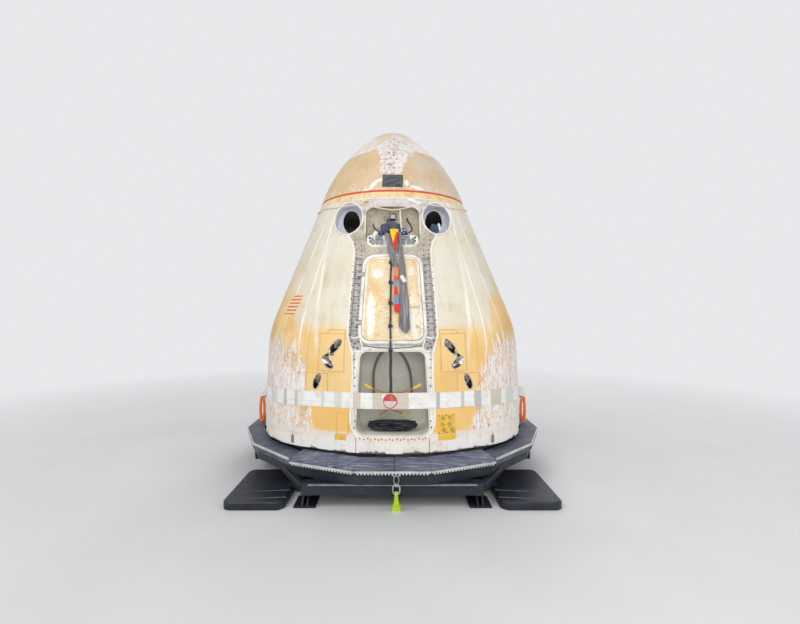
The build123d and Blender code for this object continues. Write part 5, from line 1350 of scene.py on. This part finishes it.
for name, x, y, height, back, size, finish, seed, turn in (
        ("Slate_pouch", -0.012, 2.84, 2.845, 0.10, (0.150, 0.10, 0.150), slate_cloth, 1.0, 0.08),
        ("Blue_cloth_left", -0.105, 2.80, 2.800, 0.07, (0.085, 0.08, 0.170), navy_cloth, 4.0, 0.35),
        ("Blue_cloth_low", -0.165, 2.74, 2.742, 0.06, (0.060, 0.06, 0.080), navy_cloth, 6.0, -0.3),
        ("Blue_cloth_right", 0.130, 2.77, 2.775, 0.06, (0.120, 0.07, 0.090), navy_cloth, 8.0, -0.1),
        ("White_scrap_left", -0.235, 2.74, 2.735, 0.05, (0.055, 0.05, 0.090), belt_white, 9.0, 0.5)):
    pouch(name, x, bay_front(0, y) + back, height, size, finish, seed, turn)
plugs = [bevelled(added(bpy.ops.mesh.primitive_cylinder_add, vertices=20, radius=radius, depth=0.06,
                        rotation=(math.pi / 2, 0, 0), location=(x, bay_front(0, height) + 0.035, EDGE + height)),
                  0.004) for x, height, radius in ((0.165, 2.79, 0.02), (0.2, 2.765, 0.016), (0.15, 2.745, 0.014))]
settle(joined(plugs), "Pale_plugs", pale_blue)

sensor = added(bpy.ops.mesh.primitive_cube_add, size=2, location=(0.006, bay_front(0, 3.0) + 0.12, EDGE + 3.005))
sensor.scale = (0.042, 0.035, 0.038)
bpy.ops.object.transform_apply(location=True, rotation=True, scale=True)
bevelled(sensor, 0.010, 3)
for face in sensor.data.polygons:
    face.select = face.normal.y < -0.9
edited(sensor, (bpy.ops.mesh.inset, {"thickness": 0.007}), (bpy.ops.transform.translate, {"value": (0, 0.006, 0)}))
settle(sensor, "Sensor_box", console_finish)
for face in sensor.data.polygons:
    if face.normal.y < -0.9 and face.area > 0.0015:
        face.material_index = 1
sensor.data.materials.append(pale_face)

for name, points, radius, finish in (
        ("Upper_cable", [(0.205, -1.00, 3.02), (0.215, -1.12, 2.95), (0.245, -1.24, 2.88), (0.262, -1.30, 2.80),
                         (0.225, -1.34, 2.765), (0.170, -1.35, 2.75)], 0.010, dark_finish),
        ("Upper_cable_left", [(-0.270, -1.10, 2.92), (-0.255, -1.20, 2.86), (-0.215, -1.29, 2.80),
                              (-0.175, -1.34, 2.745)], 0.009, dark_finish),
        ("Upper_cable_low", [(-0.15, -1.33, 2.755), (-0.06, -1.37, 2.735), (0.06, -1.38, 2.742),
                             (0.15, -1.36, 2.735), (0.21, -1.36, 2.745)], 0.012, dark_finish),
        ("Wrapped_cord", [(0.100, -1.245, 3.085), (0.104, -1.26, 3.02), (0.110, -1.29, 2.93), (0.118, -1.34, 2.83),
                          (0.126, -1.37, 2.765)], 0.014, wrapped_cord)):
    settle(tube_along(hung(in_bay(points), 4), radius), name, finish, "root", 60)

# Plates and parts on the white fitting panel
plate_metal = worn_paint("Plate metal", (142, 142, 146), (96, 96, 100), 18.0, 0.7, (0.3, 0.5), 0.6)
for side, name in SIDES:
    cover = bevelled(added(bpy.ops.mesh.primitive_cube_add, size=2), 0.18)
    for vertex in cover.data.vertices:
        spot = on_hatch(side * 0.182 + vertex.co.x * 0.095 / 2, 2.690 + vertex.co.z * 0.045 / 2)
        vertex.co = spot + Vector((0, 0.040 + vertex.co.y * 0.008, 0))
    settle(cover, f"Fitting_cover_{name}", plate_metal)
slots = []
for x, height, lean in ((-0.295, 2.632, 0.4), (-0.203, 2.640, -0.2), (-0.152, 2.640, 0.1), (0.151, 2.642, -0.3),
                        (0.223, 2.632, 0.3), (0.295, 2.636, 0.5), (-0.305, 2.682, 0.2), (0.300, 2.688, -0.4)):
    slot = added(bpy.ops.mesh.primitive_cylinder_add, vertices=12, radius=0.013, depth=0.02,
                 rotation=(math.pi / 2 + HATCH_LEAN, 0, 0))
    slot.scale = (1.0, 1.5, 1.0)
    bpy.ops.object.transform_apply(location=True, rotation=True, scale=True)
    bevelled(slot, 0.003)
    found = from_front([cad["fitting_panel"]], x, height)
    spot = found[0] if found else on_hatch(x, height) + Vector((0, 0.05, 0))
    slot.matrix_world = Matrix.Translation(spot) @ Matrix.Rotation(lean, 4, "Y")
    slots.append(slot)
settle(joined(slots), "Panel_slots", dark_hole)

# Thruster mouths: a pale rim round each slanted opening, front and rear, a painted highlight on the lips with darker
# clouds
THRUSTERS = [(21.8, 1.260), (24.0, 1.060), (29.2, 0.800)]
MOUTH_REACH = 0.22
MOUTH_STEP = 0.004
MOUTH_DROP = 0.003
MOUTH_SLIM = 0.62
HULL_REACH = 1.93


def mouth_edge(turn, height, way):
    """The edge of a thruster's opening, found by walking in from the hull outside it towards its middle."""
    outside = None
    for step in range(int(MOUTH_REACH / MOUTH_STEP)):
        reach = MOUTH_REACH - step * MOUTH_STEP
        aside = math.degrees(reach * MOUTH_SLIM * math.cos(way) / HULL_REACH)
        point = on_hull(turn + aside, height + reach * math.sin(way), 0.0005, HULL + [cad["thruster_nozzles"]])[0]
        depth = math.hypot(point.x, point.y)
        if outside is not None and outside[1] - depth > MOUTH_DROP:
            break
        outside = (point, depth)
    return outside[0]


rim_highlight_metal = worn_paint("Nozzle rim highlight", (226, 222, 216), (84, 72, 62), 14.0, 0.9, (0.2, 0.4), 0.7)
for end in ("front", "rear"):
    rims = []
    for turn, height in THRUSTERS:
        for mirrored in (-1, 1):
            where = mirrored * turn if end == "front" else 180 - mirrored * turn
            ring = [mouth_edge(where, height, way) for way in circle(40)]
            rims.append(tube_along(ring, 0.0065, 8, closed=True))
    settle(joined(rims), f"Nozzle_rim_highlights_{end}", rim_highlight_metal, smooth=60)

# Access panel on the hatch, with a screw at each corner
access_finish = worn_paint("Hatch access panel", (246, 234, 206), (226, 200, 152), 12.0, 0.8, (0.45, 0.6),
                           spots=((206, 170, 118), 0.6, 30.0))
draped_patch("Hatch_access_panel", [(0.209, 1.763), (0.344, 1.763), (0.344, 1.912), (0.209, 1.912)], 4, 4,
             lambda x, h: on_hatch(x, h, 0.0004), 0.004, access_finish, "hatch", bevel=0.0015)
hatch_out = Vector((0, -math.cos(HATCH_LEAN), math.sin(HATCH_LEAN)))
bolts("Hatch_access_screws", [(on_hatch(x, h, 0.004), hatch_out) for x in (0.222, 0.331) for h in (1.777, 1.898)],
      0.005, 0.004, fitting_finish, "hatch")
hatch_rim = []
for half, end, start in ((0.348, 1.362, 270), (0.312, 2.384, 0), (-0.312, 2.384, 90), (-0.348, 1.362, 180)):
    for step in range(7):
        angle = math.radians(start + 15 * step)
        hatch_rim.append(on_hatch(half + 0.080 * (math.cos(angle) - math.copysign(1, half)),
                                  end + 0.080 * (math.sin(angle) + (1 if end < 2 else -1)), 0.0006))
seam_line = worn_paint("Hatch seam", (244, 230, 200), (216, 178, 120), 8.0, 0.8, (0.5, 0.7))
settle(tube_along(hatch_rim, 0.0035, 8, closed=True), "Hatch_seam", seam_line, "hatch", 60)

# Taped patch on the nose and the pale line drawn taut round its foot
nose_nodes = [cad["nose_cone"]]
tape_finish = worn_paint("Nose tape", (62, 65, 71), (92, 95, 101), 12.0, 0.9, (0.3, 0.55), relief=0.5)
patch_finish = worn_paint("Nose tape edge", (118, 118, 120), (84, 84, 88), 14.0, 0.8, (0.4, 0.6))
draped_patch("Nose_patch", [(-0.146, 3.435), (0.142, 3.428), (0.146, 3.622), (-0.14, 3.63)], 14, 10,
             lambda x, h: on_front(x, h, 0.0008 + 0.0022 * abs(noise.noise(Vector((x * 22, h * 22, 0)))),
                                   nose_nodes)[0], 0.0022, tape_finish, "nose")
for number, (x0, h0, x1, h1) in enumerate(((-0.135, 3.60, 0.135, 3.592), (-0.10, 3.50, 0.09, 3.57),
                                           (-0.05, 3.445, 0.12, 3.50))):
    tape(f"Nose_patch_tape_{number}", between([(x0, h0), (x1, h1)], 10), 0.012, 0.0015, patch_finish,
         lambda x, h: on_front(x, h, 0.0052, nose_nodes), "nose")

line_cloth = woven("Nose line", (238, 222, 196), (206, 176, 160))
EDGE_OF_BAY = 19.0
EDGE_OF_TUBE = 52.0
TAUT_MIDDLE = 3.078
strap_line = []
for turn in range(-180, 180, 2):
    angle = math.radians(turn)
    away = abs(turn)
    height = TAUT_MIDDLE + 0.108 * min(away / EDGE_OF_BAY, 1) ** 1.4 + 0.125 * max(0.0, min((away - 40) / 60, 1.0))
    if away > 60:
        height += 0.02 * math.sin(angle)
    if away < EDGE_OF_TUBE:
        ends = [on_hull(math.copysign(place, turn), height, 0.014)[0] for place in (EDGE_OF_BAY, EDGE_OF_TUBE)]
        at_bay, at_tube = (math.hypot(end.x, end.y) for end in ends)
        reach = at_bay + (at_tube - at_bay) * max(0.0, (away - EDGE_OF_BAY) / (EDGE_OF_TUBE - EDGE_OF_BAY))
        strap_line.append(Vector((math.sin(angle) * reach, -math.cos(angle) * reach, EDGE + height)))
    else:
        strap_line.append(on_hull(turn, height, 0.009)[0])
settle(tube_along(strap_line, 0.0090, 8, closed=True), "Nose_line", line_cloth, smooth=60)

# Scraps caught above the upper bay
for name, spots, steps, width, thickness, cloth, colour, dirt in (
        ("Scrap_right", ((0.212, 3.246, 0.012), (0.262, 3.222, 0.022), (0.325, 3.200, 0.016), (0.388, 3.192, 0.012)),
         5, 0.050, 0.005, "Scrap white", (240, 240, 238), (206, 214, 226)),
        ("Scrap_left", ((-0.398, 3.196, 0.008), (-0.362, 3.204, 0.014), (-0.328, 3.200, 0.010)),
         4, 0.046, 0.007, "Scrap yellow", (214, 160, 40), (176, 122, 30))):
    webbing(name, hung([on_front(*spot)[0] for spot in spots], steps), width, thickness,
            woven(cloth, colour, dirt), (0, -1, 0.4))

# Grey lintel over the upper bay, round at the corners, under a white border line
LINTEL_HALF = 0.372
LINTEL_TOP = 3.238
lintel_finish = worn_paint("Lintel grey", (216, 210, 208), (184, 172, 160), 9.0, 0.7, (0.45, 0.65),
                           spots=((214, 160, 96), 0.66, 16.0))


def over_the_bay(x, height):
    """The front surface as it would be without the upper bay's opening."""
    beside = on_front(LINTEL_HALF + 0.006, height)[0].y - on_front(LINTEL_HALF + 0.006, LINTEL_TOP)[0].y
    return Vector((x, on_front(x, LINTEL_TOP)[0].y + beside - 0.0010, EDGE + height))


lintel = added(bpy.ops.mesh.primitive_grid_add, x_subdivisions=40, y_subdivisions=6, size=2)
for vertex in lintel.data.vertices:
    x = vertex.co.x * LINTEL_HALF
    corner = max(0.0, (abs(x) - 0.235) / (LINTEL_HALF - 0.235))
    foot = 3.128 - 0.125 * (1 - math.sqrt(1 - min(corner, 0.999) ** 2))
    vertex.co = over_the_bay(x, foot + (LINTEL_TOP - foot) * (1 - vertex.co.y) / 2)
use("SOLIDIFY", lintel, thickness=0.010, offset=-1.0)
settle(lintel, "Bay_lintel", lintel_finish)
tape("Lintel_edge", between([(-0.560, 3.262), (0.560, 3.262)], 30), 0.013, 0.004, border_finish, front_spot)
for side, name in SIDES:
    tape(f"Bay_edge_{name}", between(on_side(side, [(0.366, 2.745), (0.37, 2.9), (0.372, 3.03)]), 6), 0.014, 0.005,
         border_finish, lambda x, h: on_front(math.copysign(max(abs(x), 0.368), x), h, 0.0012, front_nodes))
# The dark line under the sill, sagging in the middle, is a painted shadow
tape("Sill_shadow_line", between([(-0.355, 1.292), (-0.2, 1.268), (0.0, 1.261), (0.2, 1.268), (0.355, 1.292)], 6), 0.013,
     0.004, fitting_finish, front_spot)


# Yellow connector plate low on the right, and the narrow plates at the foot
socket_finish = worn_paint("Socket metal", (176, 172, 166), (84, 74, 66), 20.0, 0.8, (0.3, 0.5), 0.7)
for name, corners, across, along, thickness, bevel in (
        ("Connector_plate", [(16.1, 0.214), (22.9, 0.214), (22.4, 0.448), (16.0, 0.448)], 10, 10, 0.006, 0.002),
        ("Foot_plate_right", [(16.1, 0.140), (22.9, 0.140), (22.9, 0.206), (16.1, 0.206)], 10, 3, 0.005, 0.0015),
        ("Foot_plate_left", [(-20.9, 0.136), (-16.4, 0.136), (-16.4, 0.200), (-20.9, 0.200)], 8, 3, -0.005, 0.0015)):
    draped_patch(name, corners, across, along, lambda t, h: on_hull(t, h, 0.0004)[0], thickness, yellow_finish,
                 bevel=bevel)
socket = added(bpy.ops.mesh.primitive_cylinder_add, vertices=24, radius=0.021, depth=0.018, location=(0, 0, 0.009))
edited(socket, (bpy.ops.mesh.inset, {"thickness": 0.005}),
       (bpy.ops.mesh.extrude_region_move, {"TRANSFORM_OT_translate": {"value": (0, 0, -0.012)}}),
       facing=Vector((0, 0, 1)))
sockets = [(*on_hull(turn, height, 0.006), 0.0) for turn, height in (
    (18.0, 0.405), (20.6, 0.410), (17.7, 0.330), (20.3, 0.325), (18.2, 0.262), (21.1, 0.260))]
settle(copies(socket, sockets), "Connector_sockets", socket_finish)
bolts("Connector_plate_screws", [on_hull(t, h, 0.006) for t in (16.5, 19.3, 22.0) for h in (0.226, 0.436)], 0.005,
      0.004, dark_hole)

# Plain striped patch on the left flank
f = Finish("Striped patch", roughness=0.6)
height = f.z - EDGE
phase = f.sum("FRACT", (height - 1.66) * (1 / 0.048))
f.paint(f.layers(
    (226, 118, 62),
    (phase, 0.50, 0.54, 1.0, (236, 220, 186)),
    (f.noise(20.0, 5.0, 0.7), 0.54, 0.66, 0.6, (232, 204, 150))))
f.relief(f.noise(40.0, 4.0), 0.15, 0.002)
draped_patch("Striped_patch", [(-51.5, 1.665), (-43.6, 1.665), (-42.2, 1.920), (-49.8, 1.920)], 12, 12,
             lambda t, h: on_hull(t, h, 0.0006)[0], -0.0012, f.material)

# A crumpled cloth left in the right-hand tube
pouch("Tube_cloth_blue", 0.600, -0.93, 2.885, (0.12, 0.10, 0.12), navy_cloth, 12.0, 0.3)
pouch("Tube_cloth_white", 0.668, -0.95, 2.900, (0.035, 0.06, 0.120), belt_white, 14.0, -0.25)

# Dark throat that joins the two upper thrusters of each front pod
throat_finish = worn_paint("Thruster throat", (66, 62, 42), (34, 32, 28), 20.0, 0.8, (0.3, 0.5), 0.4)
for side, name in SIDES:
    middle = on_side(side, [(23.1, 1.186), (24.2, 1.166), (25.2, 1.146), (25.9, 1.122)])
    tape(f"Thruster_throat_{name}", between(middle, 4), 0.046, 0.003, throat_finish,
         lambda t, h: on_hull(t, h, 0.0008))

# Cradle: a pale lip along the front beam, braces at its ends, ridges on the outriggers
BEAM_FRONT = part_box("base_frame")[0][1]
BEAM_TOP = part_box("base_frame")[1][2]


def bar(start, end, wide, tall, bevel=0.006):
    """A square bar between two points, its edges bevelled."""
    start, end = Vector(start), Vector(end)
    piece = added(bpy.ops.mesh.primitive_cube_add, size=1)
    piece.scale = ((end - start).length, wide, tall)
    bpy.ops.object.transform_apply(location=True, rotation=True, scale=True)
    bevelled(piece, bevel)
    turned = (end - start).to_track_quat("X", "Z").to_matrix().to_4x4()
    piece.matrix_world = Matrix.Translation((start + end) / 2) @ turned
    return piece


lip_steel = worn_paint("Lip steel", (150, 155, 166), (74, 79, 90), 7.0, 0.8, (0.35, 0.55), 0.3)
settle(bar((-0.985, BEAM_FRONT - 0.021, BEAM_TOP - 0.006), (0.985, BEAM_FRONT - 0.021, BEAM_TOP - 0.006), 0.044,
           0.01, 0.002), "Beam_lip", lip_steel)
braces = []
ridges = []
for side in (-1, 1):
    for end in (-1, 1):
        braces.append(bar((side * 1.46, end * 1.52, 0.345), (side * 1.07, end * 2.04, 0.235), 0.070, 0.090))
        for y in (1.815, 2.03):
            ridges.append(bar((side * 1.26, end * y, 0.1105), (side * 1.94, end * y, 0.0800), 0.014, 0.010, 0.003))
settle(joined(braces), "Cradle_braces", navy_finish)
settle(joined(ridges), "Outrigger_ridges", rubber_finish)
settle(bar((-1.935, -2.06, 0.0805), (-1.835, -2.06, 0.085), 0.055, 0.004, 0.001), "Outrigger_label", belt_white)

# Bow shackle that hangs the front shackle from a lug on the ring
SHACKLE_X = 0.042
SHACKLE_Y = -2.206
lug = bar((SHACKLE_X, -2.150, 0.405), (SHACKLE_X, -2.205, 0.405), 0.020, 0.060)
settle(lug, "Front_lug", navy_finish)
bow_line = [Vector((SHACKLE_X + 0.030 * math.sin(angle), SHACKLE_Y, 0.378 + 0.047 * math.cos(angle)))
            for angle in circle(28)]
bow = [tube_along(bow_line, 0.0085, closed=True)]
for side in (-1, 1):
    bow.append(tube_along([Vector((SHACKLE_X + side * aside, SHACKLE_Y, height)) for aside, height in (
        (0.012, 0.428), (0.030, 0.430), (0.052, 0.428))], 0.012))
settle(joined(bow), "Upper_shackle", shackle_finish, smooth=60)

# Floor, light and camera
floor = added(bpy.ops.mesh.primitive_plane_add, size=80, location=(0, 0, -0.001))
floor.name = "Floor"


def shown_to(tree, light_path):
    """One where a camera, glossy or transmission ray sees the background, and 0 for the light on the object."""
    seen_by = light_path.outputs["Is Camera Ray"]
    for ray in ("Is Glossy Ray", "Is Transmission Ray"):
        either = tree.nodes.new("ShaderNodeMath")
        either.operation = "MAXIMUM"
        tree.links.new(seen_by, either.inputs[0])
        tree.links.new(light_path.outputs[ray], either.inputs[1])
        seen_by = either.outputs[0]
    return seen_by


BACKDROP = (0.80, 0.81, 0.83, 1)
f = Finish("Floor", roughness=0.9)
f.paint(f.over(f.ramp(f.noise(0.6, 3.0), 0.4, 0.6), (214, 214, 214), (218, 218, 218)))
far_away = f.sum("SQRT", f.x * f.x + f.y * f.y)
seen = Field(f, shown_to(f.tree, f.tree.nodes.new("ShaderNodeLightPath")))
glow = f.tree.nodes.new("ShaderNodeEmission")
glow.inputs["Color"].default_value = BACKDROP
shaders = Field(f, f.shader.outputs[0]), Field(f, glow.outputs[0])
mix = f.node("MixShader", (f.ramp(far_away, 3.2, 12.0) * seen, *shaders))
f.put(mix, f.tree.nodes["Material Output"].inputs["Surface"])
floor.data.materials.append(f.material)

world = bpy.data.worlds.new("Studio")
bpy.context.scene.world = world
world.use_nodes = True
sky = world.node_tree.nodes["Background"]
path = world.node_tree.nodes.new("ShaderNodeLightPath")
pale = world.node_tree.nodes.new("ShaderNodeMix")
pale.data_type = "RGBA"
world.node_tree.links.new(shown_to(world.node_tree, path), pale.inputs[0])
pale.inputs[6].default_value = (0.52, 0.53, 0.55, 1)
pale.inputs[7].default_value = BACKDROP
world.node_tree.links.new(pale.outputs[2], sky.inputs["Color"])


def softbox(name, place, aim, size, watts):
    """A square studio lamp that points at a place on the capsule."""
    lamp = bpy.data.lights.new(name, "AREA")
    lamp.size = size
    lamp.energy = watts
    holder = bpy.data.objects.new(name, lamp)
    holder.location = place
    holder.rotation_euler = (Vector(aim) - Vector(place)).to_track_quat("-Z", "Y").to_euler()
    bpy.context.scene.collection.objects.link(holder)


softbox("Key", (-5.5, -8.0, 8.5), (0, 0, 2.4), 5.0, 378)
softbox("Fill", (6.5, -7.0, 5.5), (0, 0, 2.2), 6.0, 188)
softbox("Front", (0.4, -9.0, 3.4), (0, 0, 2.4), 3.4, 122)
softbox("Back", (2.0, 8.5, 8.0), (0, 0, 2.6), 6.0, 420)

camera = bpy.data.objects.new("Camera", bpy.data.cameras.new("Camera"))
camera.data.lens = 20.16
camera.data.sensor_width = 36
camera.data.shift_x = 0.00925
camera.data.shift_y = -0.00175
camera.location = (0, -7.35, EDGE + 1.715)
camera.rotation_euler = (math.pi / 2, 0, 0)
bpy.context.scene.collection.objects.link(camera)
bpy.context.scene.camera = camera
bpy.context.scene.view_settings.view_transform = "Standard"
